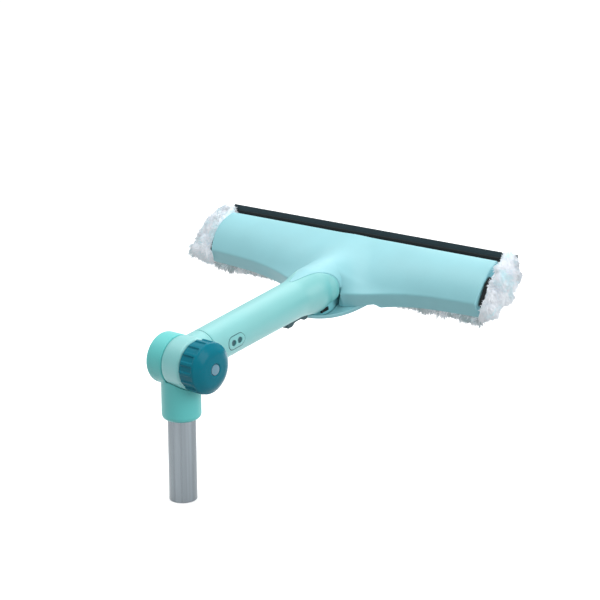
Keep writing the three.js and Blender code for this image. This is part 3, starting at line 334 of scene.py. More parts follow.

# %% [markdown]
# ## Metals, rubber and friction lining
#
# The pole is drawn aluminium tube with a clear anodised skin: a grey metal whose fine die lines run along it,
# so highlights stretch round it. Screws, bolt and springs are zinc plated steel, the knob's insert is brass.
# The blade is extruded natural rubber, almost matt, with faint lines along its length. Real die lines are a
# few hundredths of a millimetre apart, too fine to show, so all of these are drawn coarser. On the pole they
# are drawn 4.5 mm apart with a strong swing in tone, so they also paint the light and dark bands that
# reflections lay along a round tube: partly real lines, partly painted reflection.

# %% Metals, rubber and lining
def drawn_metal(name, colour, roughness, spacing=(0.7, 0.7, 0.7)):
    """Bare metal whose fine lines are this many millimetres apart along x, y and z."""
    material, tree = new_material(name)
    where = add(tree, "TexCoord").outputs["Object"]
    lines = add(tree, "Mapping", {"Vector": where, "Scale": [per_metre(s) for s in spacing]})
    streak = add(tree, "TexNoise", {"Vector": lines, "Scale": 1.0, "Detail": 3.0})
    base = linear(colour)
    tone = add(tree, "Mix", {"Factor": streak, "A": tinted(base, 0.5), "B": tinted(base, 1.5)}, data_type="RGBA")
    gloss = add(tree, "MapRange", {"Value": streak, "From Min": 0.3, "From Max": 0.7,
                                   "To Min": roughness - 0.06, "To Max": roughness + 0.08})
    bump = add(tree, "Bump", {"Height": streak, "Strength": 0.2, "Distance": 0.00002})
    return close_material(material, add(tree, "BsdfPrincipled", {
        "Base Color": tone, "Roughness": gloss, "Metallic": 1.0, "Normal": bump}))


def matt_rubber(name, colour, roughness, spacing):
    """Rubber with a faint bloom, and lines along x that are this many millimetres apart."""
    material, tree = new_material(name)
    where = add(tree, "TexCoord").outputs["Object"]
    lines = add(tree, "Mapping", {"Vector": where, "Scale": [per_metre(s) for s in (60, spacing, spacing)]})
    streak = add(tree, "TexNoise", {"Vector": lines, "Scale": 1.0, "Detail": 4.0})
    bloom = add(tree, "TexNoise", {"Vector": where, "Scale": per_metre(18), "Detail": 4.0})
    base = linear(colour)
    tone = add(tree, "Mix", {"Factor": bloom, "A": tinted(base, 0.8), "B": tinted(base, 1.25, 0.004)},
               data_type="RGBA")
    bump = add(tree, "Bump", {"Height": streak, "Strength": 0.3, "Distance": 0.00004})
    return close_material(material, add(tree, "BsdfPrincipled", {
        "Base Color": tone, "Roughness": roughness, "IOR": 1.52, "Specular IOR Level": 0.2, "Normal": bump}))


# partly painted reflection: the pole's coarse die lines swing its tone by half, painting light and dark bands
POLE_ALUMINIUM = drawn_metal("aluminium_drawn_anodised", "#7b8287", 0.28, spacing=(4.5, 4.5, 400))
ZINC_STEEL = drawn_metal("steel_zinc_plated", "#b9bdc0", 0.3)
TURNED_BRASS = drawn_metal("brass_turned", "#b9975b", 0.3)
BLADE_RUBBER = matt_rubber("rubber_extruded_slate", "#25363c", 0.55, 1.1)
FRICTION_LINING = matt_rubber("friction_lining_brown", "#5a4a3c", 0.9, 0.8)
print("metals and rubbers made")

# %% [markdown]
# ## Microfibre
#
# The cover is polyester microfibre pile: bundles of very fine white filaments that scatter light and glow a
# little at their edges. A sheen layer gives that edge glow, and a weak emission is painted light, for the light
# that wanders about inside the pile. Each tuft and each padded body carries a number that picks its colour
# between clean white and grey: partly a random tone, partly painted shade, darker at the tufts' roots and in the
# hollows of the padded bodies. Slow patches are painted reflection, the blue-green that the housing throws into
# it. The filaments are a hundredth of a millimetre thick, too fine to show, so the fuzz between them is drawn at
# 0.9 mm.

# %% Microfibre
def fibre(name, light, shadow, painted_bounce, weave=0.9, glow=0.0):
    material, tree = new_material(name)
    tone_and_shade = add(tree, "Attribute", attribute_name="tone_and_shade").outputs["Fac"]
    where = add(tree, "TexCoord").outputs["Object"]
    slow = add(tree, "TexNoise", {"Vector": where, "Scale": per_metre(12), "Detail": 2.0})
    # partly painted shade: the number per point mixes grey shade into the clean white
    tone = add(tree, "Mix", {"Factor": tone_and_shade, "A": linear(shadow), "B": linear(light)}, data_type="RGBA")
    # painted reflection: slow patches of the blue-green that the housing throws into the pile
    patches = add(tree, "MapRange", {"Value": slow, "From Min": 0.48, "From Max": 0.68,
                                     "To Min": 0.0, "To Max": 0.8})
    toned = add(tree, "Mix", {"Factor": patches, "A": tone, "B": linear(painted_bounce)}, data_type="RGBA")
    fuzz = add(tree, "TexNoise", {"Vector": where, "Scale": per_metre(weave), "Detail": 4.0})
    bump = add(tree, "Bump", {"Height": fuzz, "Strength": 0.6, "Distance": 0.0003})
    # painted light: a weak white emission lifts the pile, for the light that wanders inside it
    return close_material(material, add(tree, "BsdfPrincipled", {
        "Base Color": toned, "Roughness": 0.92, "Sheen Weight": 0.35, "Sheen Roughness": 0.5,
        "Emission Color": (0.93, 0.97, 1.0, 1.0), "Emission Strength": glow, "Specular IOR Level": 0.2,
        "Normal": bump}))


PILE_FIBRE = fibre("microfibre_pile_white", "#f7f9fd", "#c6d2de", "#a9dce6", glow=0.30)
# painted shade: a darker copy of the pile, for the parts that lie in the housing's shadow
PAINTED_SHADE_FIBRE = fibre("microfibre_pile_painted_shade", "#e6eef1", "#9db9bd", "#8fc6cb", glow=0.16)
BACKING_FIBRE = fibre("microfibre_backing_white", "#eff3f8", "#b9c8d5", "#a9dce6", glow=0.28)
HOOK_NYLON = fibre("hook_tape_nylon", "#d9dcde", "#c3c7ca", "#cfd3d6", weave=1.4)
print("fibres made")


# %% [markdown]
# ## Putting a piece in place
#
# Each finished piece goes from its own frame to the row frame, gets its finish, rides on one moving body and
# may stand for a plainer solid.

# %% Placing
def place(body, name, where, rides_on, finish, stands_for=(), sharp=35):
    moved(body, where)
    shade(body.data, sharp)
    body.name = body.data.name = name
    body.data.materials.clear()
    body.data.materials.append(finish)
    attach(body, rides_on)
    if stands_for:
        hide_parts(*stands_for)
    print(f"{name}: {len(body.data.polygons)} faces")
    return body


# %% [markdown]
# ## Pole
#
# A plain tube. Its rims are turned over slightly, which is what makes the bright line at a cut end.

# %% Pole
TUBE_R, TUBE_WALL, SOCKET_DROP, TUBE_GRIP = 12.0, 1.2, 50.0, 23.5
tube_top = AXIS_HEIGHT - SOCKET_DROP + TUBE_GRIP
tube = revolve([[TUBE_R - TUBE_WALL, 0, 0.3], [TUBE_R, 0, 0.4], [TUBE_R, tube_top, 0.4],
                [TUBE_R - TUBE_WALL, tube_top, 0.3]], "z", steps=3)
place(tube, "pole_tube_skin", POLE, "pole", POLE_ALUMINIUM, ["pole_tube"])

# %% [markdown]
# ## Pole socket and the fixed half of the drum
#
# A barrel that takes the tube, and on top a drum whose axis lies across it. The arm's half of the drum turns
# beside it, so the space it needs is cut away.

# %% Pole socket
GAP = 0.3                  # between any two pieces that fit together
SOCKET_R, DRUM_R, DRUM_SPLIT, DRUM_LEFT, DRUM_RIGHT = 16.7, 21.8, -2.0, 17.9, 19.9
BOLT_R, BOLT_HEAD_R, BOLT_HEAD_THICK = 3.9, 8.0, 3.3
CAP_R, CAP_THICK, TUBE_SCREW_R = 10.4, 1.5, 3.2
ARM_R, SWING_GAP = 16.7, 0.4
left_face, right_face = DRUM_SPLIT - DRUM_LEFT, DRUM_SPLIT + DRUM_RIGHT
left_split, right_split = DRUM_SPLIT - GAP / 2, DRUM_SPLIT + GAP / 2
cap_seat = left_face + CAP_THICK + GAP


def half_drum(outer, split, land):
    return revolve([[0, split], [DRUM_R - 0.8, split, 0.3], [DRUM_R, split + land, 0.3], [DRUM_R, outer, 3],
                    [0, outer]], "x")


def collar_space(elevation):
    """The room that the arm's collar needs where it stands at this angle."""
    sweep = moved(pin(ARM_R + SWING_GAP, 8, DRUM_R + 24, "y"), Matrix.Rotation(math.radians(elevation), 4, "X"))
    return cut(sweep, pin(DRUM_R + 0.1, -40, 40, "x", 144))


socket = revolve([[0, -SOCKET_DROP], [SOCKET_R, -SOCKET_DROP, 4.5], [SOCKET_R, 0], [0, 0]], "z", steps=8)
join(socket, half_drum(left_face, left_split, -0.8))
screw_hole = moved(pin(TUBE_SCREW_R, SOCKET_R - 0.6, SOCKET_R + 3, "y"),
                   Matrix.Translation((0, 0, -SOCKET_DROP + TUBE_GRIP / 2)))
cut(socket, pin(DRUM_R + SWING_GAP, left_split, right_face + 10, "x", 144), collar_space(ARM_RISE),
    collar_space(180 - ARM_RISE), pin(TUBE_R + GAP, -SOCKET_DROP - 1, -SOCKET_DROP + TUBE_GRIP + GAP, "z"),
    pin(BOLT_R + GAP, left_face - 1, left_split + 1, "x"), pin(CAP_R + GAP, left_face - 1, cap_seat, "x"),
    pin(BOLT_HEAD_R + GAP, left_face - 1, cap_seat + BOLT_HEAD_THICK, "x"), screw_hole)
moulded(socket, 0.4, 3)
place(socket, "pole_socket_body", AXIS, "pole", SOCKET_ABS, ["pole_socket"], sharp=60)

bolt_cap = revolve([[0, left_face + 0.2], [8.4, left_face + 0.2, 0.3], [9.0, left_face + 0.6, 0.3],
                    [CAP_R, left_face + 0.2, 0.5], [CAP_R, left_face + CAP_THICK], [0, left_face + CAP_THICK]],
                   "x", 96, 3)
place(bolt_cap, "bolt_cap_disc", AXIS, "pole", SOCKET_ABS, ["bolt_cap"])

# %% [markdown]
# ## Clamp knob
#
# A ribbed band for the fingers and a domed front face, moulded in one. The ribs are narrow, the flutes between
# them wide. The band is a star-shaped prism, trimmed by a spun envelope, then joined to the body.

# %% Clamp knob
KNOB_R, KNOB_DEPTH, KNOB_BAND, KNOB_RIBS, RIB_HEIGHT = 22.2, 20.0, 15.6, 16, 1.3
RIB_TOP, RIB_FOOT = (0.0, 0.07, 0.15, 0.23, 0.3), (0.36, 0.5, 0.65, 0.8, 0.94)   # shares of one rib's turn
KNOB_CAP_R, KNOB_CAP_THICK, FACE_DIP = 4.7, 1.8, 0.6
WASHER_ROOM, INSERT_ROOM = (9.3, 1.5), (7.3, 10.3)                               # radius and depth
knob_back = right_face + GAP
knob_front, band_end = knob_back + KNOB_DEPTH + 1.6, knob_back + KNOB_BAND
cap_floor = knob_front - FACE_DIP - KNOB_CAP_THICK
rib_outline = []
for rib in range(KNOB_RIBS):
    for share in RIB_TOP + RIB_FOOT:
        r, angle = KNOB_R - RIB_HEIGHT * (share in RIB_FOOT), (rib + share) * 2 * math.pi / KNOB_RIBS
        rib_outline.append((r * math.cos(angle), r * math.sin(angle)))
ribs = prism(rib_outline, "x", knob_back + 1, band_end - 1.6)
keep_inside(ribs, revolve([[0, knob_back + 1], [KNOB_R - 0.6, knob_back + 1], [KNOB_R, knob_back + 1.6],
                           [KNOB_R, band_end - 2.4], [KNOB_R - 1, band_end - 1.6], [0, band_end - 1.6]], "x", 192))
knob = revolve([[0, knob_back], [KNOB_R - RIB_HEIGHT, knob_back], [KNOB_R - RIB_HEIGHT, band_end - 2.4],
                [KNOB_R - 0.4, band_end - 2], [KNOB_R - 0.4, band_end, 2.2], [KNOB_R * 0.68, knob_front - 1, 14],
                [KNOB_CAP_R + 1.2, knob_front, 0.3], [KNOB_CAP_R + GAP, knob_front - FACE_DIP],
                [0, knob_front - FACE_DIP]], "x", 192, 10)
join(knob, ribs)
cut(knob, *(pin(radius, knob_back - 1, knob_back + depth, "x")
            for radius, depth in ((BOLT_R + GAP, 13), WASHER_ROOM, INSERT_ROOM)),
    pin(KNOB_CAP_R + GAP, cap_floor, knob_front + 1, "x"))
moulded(knob, 0.33)
place(knob, "clamp_knob_body", AXIS, "knob", KNOB_ABS, ["clamp_knob"], sharp=60)

cap_back = cap_floor + GAP
knob_cap = revolve([[0, cap_back], [KNOB_CAP_R, cap_back], [KNOB_CAP_R, cap_back + KNOB_CAP_THICK, 0.6],
                    [0, cap_back + KNOB_CAP_THICK + 0.5]], "x", 96, 5)
place(knob_cap, "knob_cap_button", AXIS, "knob", CAP_ABS, ["knob_cap"])

# %% [markdown]
# ## Arm: collar, turning half drum and grip
#
# The collar and its half of the drum are one moulding with a spigot inside the grip. The grip is a spun tube
# that swells to a bell at the head. Just before its rolled rim it draws in to a shallow waist, and the rim gets
# thinner under the head's tongue. Its cuts are the oval for the click button and the seat of the slider.

# %% Collar
ARM_START, ARM_END, ARM_SWELL = 27.2, 188.0, 0.8
BELL_START, BELL_FULL, BELL_R = ARM_END - 40, ARM_END - 20, 21.3
SPIGOT_R, SPIGOT_WALL, SPIGOT_END = 13.7, 2.5, 78.0
BUTTON_AT, BUTTON_LENGTH, BUTTON_WIDTH = 52.0, 20.0, 11.2


def button_prism(grow, x0, x1):
    """The button's oval, grown all round, as a prism across the arm."""
    length, width = BUTTON_LENGTH + 2 * grow, BUTTON_WIDTH + 2 * grow
    outline = rounded([[side * length / 2, up * width / 2, width / 2 - 0.01]
                       for side, up in ((-1, -1), (1, -1), (1, 1), (-1, 1))], 16)
    return moved(prism(outline, "x", x0, x1), Matrix.Translation((0, BUTTON_AT, 0)))


collar = revolve([[0, 0], [ARM_R, 0], [ARM_R, ARM_START - GAP / 2, 0.4], [SPIGOT_R, ARM_START - GAP / 2],
                  [SPIGOT_R, SPIGOT_END, 1.5], [0, SPIGOT_END]], "y")
join(collar, half_drum(right_face, right_split, 2.8))
cut(collar, pin(DRUM_R + SWING_GAP, left_face - 4, right_split, "x", 144),
    pin(BOLT_R + GAP, right_split - 1, right_face + 1, "x"),
    pin(SPIGOT_R - SPIGOT_WALL, ARM_START + 4, SPIGOT_END + 1, "y"), button_prism(GAP, 0, SPIGOT_R + 2))
moulded(collar, 0.45, 3)
place(collar, "arm_collar", ARM, "arm", MINT_ABS, ["arm_knuckle"], sharp=60)

# %% Grip
SLIDER_START, SLIDER_END, SLIDER_WIDTH, SLIDER_TRAVEL, SLIDER_SEAT = 128.5, 156.6, 13.0, 5.0, 16.2
STEM_HALF, STEM_START, STEM_END, STEM_TOP = 3.0, 139.0, 146.0, 10.7   # the slider's foot inside the arm
SEAM_TIP, SEAM_END, SEAM_SIDE = ARM_END - 43, ARM_END + 1, BELL_R + 0.4
SEAM_GAP, SEAM_POWER, RIM_ROUND = 0.4, 1.88, 2.6
WAIST_DEPTH, WAIST_BACK, WAIST_WIDTH = 1.1, 11.0, 4.2
EDGE_TOP, EDGE_DROP, EDGE_RUN = 8.0, 14.6, 15.0   # the curve along which the arm's rim meets the keel
AROUND = 192                                      # points round the arm
bore = SPIGOT_R + GAP


def arm_profile(grow, end):
    """The arm's side from its collar to its end, as corners to spin."""
    return [[ARM_R + grow, ARM_START], [ARM_R + ARM_SWELL + grow, BELL_START, 40],
            [BELL_R + grow, BELL_FULL, 40], [BELL_R + grow, end]]


arm_line = np.array([tuple(p) for p in rounded(arm_profile(0, 230.0), 12, closed=False)])


def arm_radius(along):
    return float(np.interp(along, arm_line[:, 1], arm_line[:, 0]))


def seam(side):
    """Where the head's tongue meets the arm, at a share of its half width from 0 at the top to 1 at the side."""
    blunt = math.hypot(side, 0.1) - 0.1
    return SEAM_END - (SEAM_END - SEAM_TIP) * max(1 - blunt, 0) ** SEAM_POWER


def arm_end_at(angle):
    """The arm's end along its own axis, at an angle from its top: cut back under the tongue and over the keel."""
    along = ARM_END
    for _ in range(6):
        if math.cos(angle) <= 0:
            deep = -arm_radius(along) * math.cos(angle) - EDGE_TOP
            along = ARM_END + EDGE_RUN * math.log(1 - min(max(deep, 0), 14) / EDGE_DROP)
            continue
        along = min(ARM_END, seam(min(1.0, abs(arm_radius(along) * math.sin(angle)) / SEAM_SIDE)) - SEAM_GAP)
    return along


def inner_radius(along):
    return bore + (BELL_R - 3 - bore) * smooth(BELL_START, BELL_FULL - 3, along)


def from_top(angle):
    return abs(math.remainder(angle, 2 * math.pi))


def waist(along, angle):
    """A shallow dip round the arm just before its rim, fading out under the tongue."""
    dip = math.exp(-((along - ARM_END + WAIST_BACK) / WAIST_WIDTH) ** 2)
    return WAIST_DEPTH * dip * smooth(0.6, 1.3, from_top(angle))


def grip_line(angle):
    """The grip's wall cut lengthwise at one angle, as (radius, along) points that close."""
    end, step = arm_end_at(angle), 0.02
    slope = (arm_end_at(angle + step) - arm_end_at(angle - step)) / (2 * step * arm_radius(end))
    rim = RIM_ROUND * (0.2 + 0.8 * smooth(0.3, 1.0, from_top(angle)))
    span = rim * min(3.0, math.hypot(1, slope))
    start = ARM_START + GAP / 2
    line = [(ARM_R - 0.4, start), (ARM_R - 0.1, start + 0.1), (ARM_R, start + 0.4)]
    line += [(arm_radius(a), a) for a in np.linspace(start + 3, SEAM_TIP - 24, 24)]
    line += [(arm_radius(a) - waist(a, angle), a) for a in np.linspace(SEAM_TIP - 22, end - span, 40)]
    for turn in (math.pi / 2 * k / 8 for k in range(1, 9)):
        at = end - span * (1 - math.sin(turn))
        line.append((arm_radius(end) - waist(at, angle) - rim * (1 - math.cos(turn)), at))
    line += [(inner_radius(end) + 0.3, end), (inner_radius(end), end - 0.3)]
    line += [(inner_radius(a), a) for a in np.linspace(end - 1, SEAM_TIP - 12, 14)]
    return line + [(bore, 100), (bore, start)]


points, rows = numbered([[(r * math.sin(a), along, r * math.cos(a)) for r, along in grip_line(a)]
                         for a in (2 * math.pi * k / AROUND for k in range(AROUND))])
grip = mesh_object("grip", points, woven(rows + rows[:1]))
cut(grip, block(-SLIDER_WIDTH / 2 - GAP, SLIDER_WIDTH / 2 + GAP, SLIDER_START - SLIDER_TRAVEL - 2 * GAP,
                SLIDER_END + GAP, -BELL_R - 8, -SLIDER_SEAT),
    block(-STEM_HALF - GAP, STEM_HALF + GAP, STEM_START - SLIDER_TRAVEL - 2 * GAP, STEM_END + GAP,
          -BELL_R, -bore + 4), button_prism(GAP, 4, BELL_R + 2))
place(grip, "arm_grip_tube", ARM, "arm", MINT_ABS, ["arm_grip"], sharp=30)

# %% [markdown]
# ## Click button and release slider
#
# The button is an oval plug with two round dimples for a fingertip. A dark disc at the bottom of each dimple
# and a dark ring just inside the gap round it are painted shade, for hollows that fall dark. The slider is a
# ridged thumb piece with a hollow in the middle. Both are small, so a fine grid gives them the soft edges of
# hand-sized mouldings.

# %% Button and slider
DIMPLE_R, DIMPLE_OUT, DIMPLE_DEPTH = 2.7, 3.8, 3.0
button_side = ARM_R + ARM_SWELL * (BUTTON_AT - ARM_START) / (BELL_START - ARM_START)


def across_button(radius, x0, x1, along=0.0):
    return moved(pin(radius, x0, x1, "x"), Matrix.Translation((0, BUTTON_AT + along, 0)))


def arm_face(grow):
    """The arm's outside where the button is, grown by a little."""
    return pin(button_side + grow, ARM_START, SPIGOT_END, "y", 144)


button = keep_inside(button_prism(0, 8.7, BELL_R), arm_face(0.1))
join(button, keep_inside(button_prism(1.6, 6.8, 9.2), pin(10.9, ARM_START, SPIGOT_END + 8, "y")))
cut(button, *(across_button(DIMPLE_R, button_side - DIMPLE_DEPTH, button_side + 2, side * DIMPLE_OUT)
              for side in (-1, 1)), across_button(4, 0, 12.6))
moulded(button, 0.22)
place(button, "click_button_plug", ARM, "button", MINT_ABS, ["click_button"], sharp=60)
# painted shade: a dark disc at the bottom of each dimple, where the hollow falls dark
for side, name in ((-1, "near"), (1, "far")):
    dimple_shade = across_button(DIMPLE_R + 0.1, button_side - 3.4, button_side - 0.9, side * DIMPLE_OUT)
    place(dimple_shade, f"button_dimple_shade_{name}", ARM, "button", PAINTED_SHADE_TEAL)

# painted shade: a dark ring just inside the gap round the button, where the gap falls dark
gap_shade_ring = cut(keep_inside(button_prism(GAP + 0.35, 11, BELL_R), arm_face(0.05)),
               button_prism(GAP / 2, 8, BELL_R + 2))
place(gap_shade_ring, "button_gap_painted_shade", ARM, "arm", PAINTED_SHADE_TEAL)

TIP, HOLLOW, RIDGE = 21.6, 18.3, 0.45
top = -SLIDER_SEAT - GAP
side_view = rounded([
    [SLIDER_START, top], [SLIDER_START, -TIP + 1.2, 1], [SLIDER_START + 2.5, -TIP, 1.2],
    [SLIDER_START + 6.5, -TIP + 0.8, 2], [SLIDER_START + 10.5, -HOLLOW, 5], [SLIDER_END - 9.5, -HOLLOW, 5],
    [SLIDER_END - 4.5, -TIP + 0.4, 1.6], [SLIDER_END - 1.5, -TIP, 1], [SLIDER_END, -TIP + 2, 1], [SLIDER_END, top]])
slider = keep_inside(prism(side_view, "x", -SLIDER_WIDTH / 2, SLIDER_WIDTH / 2),
                     pin(TIP + 0.2, SLIDER_START - 1, SLIDER_END + 1, "y"))
cut(slider, *(block(-5, 5, at - RIDGE, at + RIDGE, -HOLLOW - 0.6, -HOLLOW + 0.8)
              for at in (SLIDER_START + 12, SLIDER_START + 14.2, SLIDER_START + 16.4)))
join(slider, block(-STEM_HALF, STEM_HALF, STEM_START, STEM_END, top - 1, -STEM_TOP))
moulded(slider, 0.3)
place(slider, "release_slider_body", ARM, "latch", SLATE_ABS, ["release_slider"], sharp=60)

# %% [markdown]
# ## The head's surfaces
#
# The housing is one crowned plate that sweeps up into a hood over the neck. Such a shape is a few simple
# functions of x and y: where its front ridge runs, how far it is crowned, how high the hood stands. The mesh
# samples them closely, so the highlight runs over it without a facet.

# %% Surfaces
HEAD_HALF, END_BULGE, HEAD_DEPTH, HEAD_THICK, CROWN, SHELL_WALL = 153.6, 2.0, 46.5, 14.4, 6.5, 2.4
BEVEL_DRAFT, END_DRAFT, RIDGE_BOW = 5.0, 1.4, 6.0
NECK_REACH, NECK_SPREAD, SNOUT_REACH, SNOUT_SPREAD = 17.0, 60.0, 10.0, 17.0
HOOD_HEIGHT, HOOD_FOOT, HOOD_SPREAD, HOOD_FLARE, HOOD_BLEND = BELL_R, -10.0, 29.0, 16.0, 15.0
TONGUE_THICK, FLANGE_R, NECK_DIP, BASE_THICK = 2.2, 17.4, -1.5, 2.2
CHIN_HALF, CHIN_REACH, CHIN_BEND, CHIN_RISE = 52.0, 98.0, 66.0, 16.0
LIP_HEIGHT, LIP_RIM = 4.4, 2.6
END_ROUND, EDGE_SOFT = 1.3, 1.5
tilt = math.radians(PLATE_TILT)


def soft_max(a, b, reach):
    return max(a, b) + max(reach - abs(a - b), 0) ** 2 / (4 * reach)


def ridge_depth(x):
    x = abs(x)
    return (HEAD_DEPTH + RIDGE_BOW * (1 - x / HEAD_HALF) + NECK_REACH * math.exp(-(x / NECK_SPREAD) ** 2.3)
            + SNOUT_REACH * math.exp(-(x / SNOUT_SPREAD) ** 4))


def hood_height(x, y):
    reach = EDGE_REACH + (y + 0.5) * math.cos(tilt) - 14 * math.sin(tilt)
    spread = HOOD_SPREAD + HOOD_FLARE * smooth(ARM_END, ARM_END + 36, reach)
    arch = (HOOD_HEIGHT - HOOD_FOOT) * math.exp(-(abs(x) / spread) ** 2.1)
    height = HOOD_FOOT + arch * smooth(ARM_END - 11, ARM_END + 7, reach)
    return (height - EDGE_RISE - y * math.sin(tilt)) / math.cos(tilt)


def top_height(x, y):
    share = -y / ridge_depth(x)
    crowned = (CROWN * (1 - (2 * share - 1) ** 2) + 0.5 - 2 * share
               + NECK_DIP * share * math.exp(-(x / 45) ** 2))
    return soft_max(crowned, hood_height(x, y), HOOD_BLEND)


def chin_depth(x):
    t = min(abs(x) / CHIN_HALF, 1)
    root = HEAD_DEPTH + BEVEL_DRAFT + 3
    return root + (CHIN_REACH - root) * (1 - t ** 1.6) ** 1.45


def chin_floor(y):
    return -HEAD_THICK - 0.8 + CHIN_RISE * max((-y - CHIN_BEND) / (CHIN_REACH - CHIN_BEND), 0) ** 2.2


def wall_foot(x):
    on_chin = chin_floor(-ridge_depth(x) - BEVEL_DRAFT) + LIP_HEIGHT + GAP
    t = smooth(CHIN_HALF - 2, CHIN_HALF + 4, abs(x))
    return on_chin * (1 - t) - HEAD_THICK * t


def corner(before, at, after, steps=6):
    """A soft corner from one point to another, pulled towards the sharp one."""
    return [tuple((1 - t) ** 2 * b + 2 * t * (1 - t) * c + t * t * a for b, c, a in zip(before, at, after))
            for t in (k / steps for k in range(steps + 1))]


def inset(ring, distance):
    """The ring of (y, z) points taken inwards."""
    if not distance:
        return ring
    flat = np.array(ring)
    ahead, behind = np.roll(flat, -1, 0), np.roll(flat, 1, 0)
    along = ahead - behind
    normal = np.stack([-along[:, 1], along[:, 0]], 1) / np.maximum(np.linalg.norm(along, axis=1), 1e-9)[:, None]
    area = np.sum(flat[:, 0] * ahead[:, 1] - ahead[:, 0] * flat[:, 1])
    return (flat + normal * distance * (1 if area > 0 else -1)).tolist()


def to_space(x, ring):
    points = []
    for y, z in ring:
        drop = min(1.0, max(0.0, -(z + 1) / HEAD_THICK))
        across = min(1.0, max(-1.0, -2 * y / HEAD_DEPTH - 1))
        spread = 1 + (END_DRAFT * drop + END_BULGE * (1 - across ** 2)) / HEAD_HALF
        points.append((x * spread, y, z))
    return points


def outer_section(x, taken_in):
    depth, foot = ridge_depth(x), wall_foot(x)
    ridge, back = top_height(x, -depth), top_height(x, 0)
    lean = BEVEL_DRAFT * (ridge - foot) / (HEAD_THICK + 1)
    length = math.hypot(lean, ridge - foot)
    rows = 44
    ring = [(0, foot), (0, foot + (back - foot) * 0.5)]
    ring += corner((0, back - 1.2), (0, back), (-1.2, top_height(x, -1.2)))
    ring += [(y, top_height(x, y)) for y in (-1.2 - (depth - 1.2 - EDGE_SOFT) * k / rows for k in range(1, rows))]
    ring += corner((-depth + EDGE_SOFT, top_height(x, -depth + EDGE_SOFT)), (-depth, ridge),
                   (-depth - lean * EDGE_SOFT / length, ridge - (ridge - foot) * EDGE_SOFT / length))
    ring += [(-depth - lean * t, ridge - (ridge - foot) * t) for t in (0.4, 0.7, 1.0)]
    return to_space(x, inset(ring, taken_in))


def inner_section(x):
    depth = ridge_depth(x) - SHELL_WALL
    ring = [(-SHELL_WALL, -HEAD_THICK - 12)]
    for k in range(13):
        y = -SHELL_WALL - (depth - SHELL_WALL - 1) * k / 12
        near = [top_height(x + dx, y + dy) for dx in (-2.4, 0, 2.4) for dy in (-2.4, 0, 2.4)]
        ring.append((y, min(near) - SHELL_WALL))
    ring.append((-depth - BEVEL_DRAFT - 2, -HEAD_THICK - 12))
    return to_space(x, ring)


half = [(x, 0.0) for x in (*np.arange(0, 34, 1.0), *np.arange(34, 70, 2.0), *np.arange(70, 150, 5.0))]
half += [(HEAD_HALF - END_ROUND * (1 - math.sin(a)), END_ROUND * (1 - math.cos(a)))
         for a in (math.pi / 2 * k / 5 for k in range(6))]
stations = [(-x, taken_in) for x, taken_in in reversed(half[1:])] + half
print(len(stations), "sections along the head")

# %% [markdown]
# ## Housing
#
# The outer skin, less its hollow, joined to the sleeve that runs up the arm's end in a tongue. The arm's own
# shape and the mouth in front of the tongue are then cut from it, so the seam round the arm is a real gap.

# %% Housing
CHEEK_SIDE, CHEEK_END, MOUTH_START = BELL_R + 4, ARM_END - 4, 95.0
ARM_TO_HEAD = HEAD_ON_ARM.inverted()


def spun_arm(grow, start, end, first):
    """The arm's own shape, grown or shrunk, between two places along it."""
    return revolve([[0, start], first, *arm_profile(grow, end)[1:], [0, end]], "y", 192, 8)


start, end = SEAM_TIP - 3, ARM_END + 13
sleeve = cut(spun_arm(0, start, end, [arm_radius(start), start]), block(-40, 40, 100, 220, -40, HOOD_FOOT + 1))
seam_line = [(SEAM_SIDE * share, seam(share)) for share in np.linspace(1, -1, 97)]
mouth = [(CHEEK_SIDE, CHEEK_END), (SEAM_SIDE, CHEEK_END), *seam_line, (-SEAM_SIDE, CHEEK_END),
         (-CHEEK_SIDE, CHEEK_END), (-CHEEK_SIDE, MOUTH_START), (CHEEK_SIDE, MOUTH_START)]
cutters = [
    pin(FLANGE_R + 0.5, ARM_END - 2, ARM_END + 18, "y"),
    spun_arm(-TONGUE_THICK, ARM_START, SEAM_END, [ARM_R - TONGUE_THICK, ARM_START]), prism(mouth, "z", 0, 60),
    block(-SEAM_SIDE, SEAM_SIDE, MOUTH_START, SEAM_END, -60, 0.01),
    block(-CHEEK_SIDE, CHEEK_SIDE, MOUTH_START, CHEEK_END, -60, 0.01)]

shell = skin([outer_section(x, taken_in) for x, taken_in in stations])
join(shell, moved(sleeve, ARM_TO_HEAD))
hollow = skin([inner_section(x) for x in np.linspace(-HEAD_HALF + SHELL_WALL, HEAD_HALF - SHELL_WALL, 90)])
cut(shell, hollow, *(moved(cutter, ARM_TO_HEAD) for cutter in cutters))
place(shell, "top_shell_skin", HEAD, "arm", SHELL_ABS, ["top_shell"], sharp=32)

# %% [markdown]
# ## Base and chin
#
# The base closes the housing from below and runs forward in a chin whose raised lip cradles the neck.

# %% Base and chin
KEEL_WIDTH, KEEL_REACH, KEEL_NOSE, KEEL_GAP = 24.6, 93.0, 19.0, 1.6
WING_REACH, WING_THICK, WING_ROUND = 14.0, 2.0, 5.0


def chin_section(x):
    front = chin_depth(x)
    inside = min(ridge_depth(x) - SHELL_WALL - 1, front - 3)
    start, edge, rows = -SHELL_WALL - GAP, chin_floor(-front), 16
    lip = edge + LIP_HEIGHT
    run = [-inside - (front - 1.6 - inside) * k / rows for k in range(rows + 1)]
    ring = [(start, -HEAD_THICK), (-inside + 1, -HEAD_THICK - 0.2)] + [(y, chin_floor(y)) for y in run]
    ring += corner((-front + 1.2, edge), (-front, edge + 0.2), (-front, edge + 1.8), 4)
    ring += corner((-front, lip - 1.2), (-front, lip), (-front + 1.2, lip), 4)
    ring += [(y, chin_floor(y) + LIP_HEIGHT) for y in reversed(run[:-1])]
    ring += [(-inside + 0.2, -HEAD_THICK + BASE_THICK), (start, -HEAD_THICK + BASE_THICK)]
    return [(x, y, z) for y, z in ring]


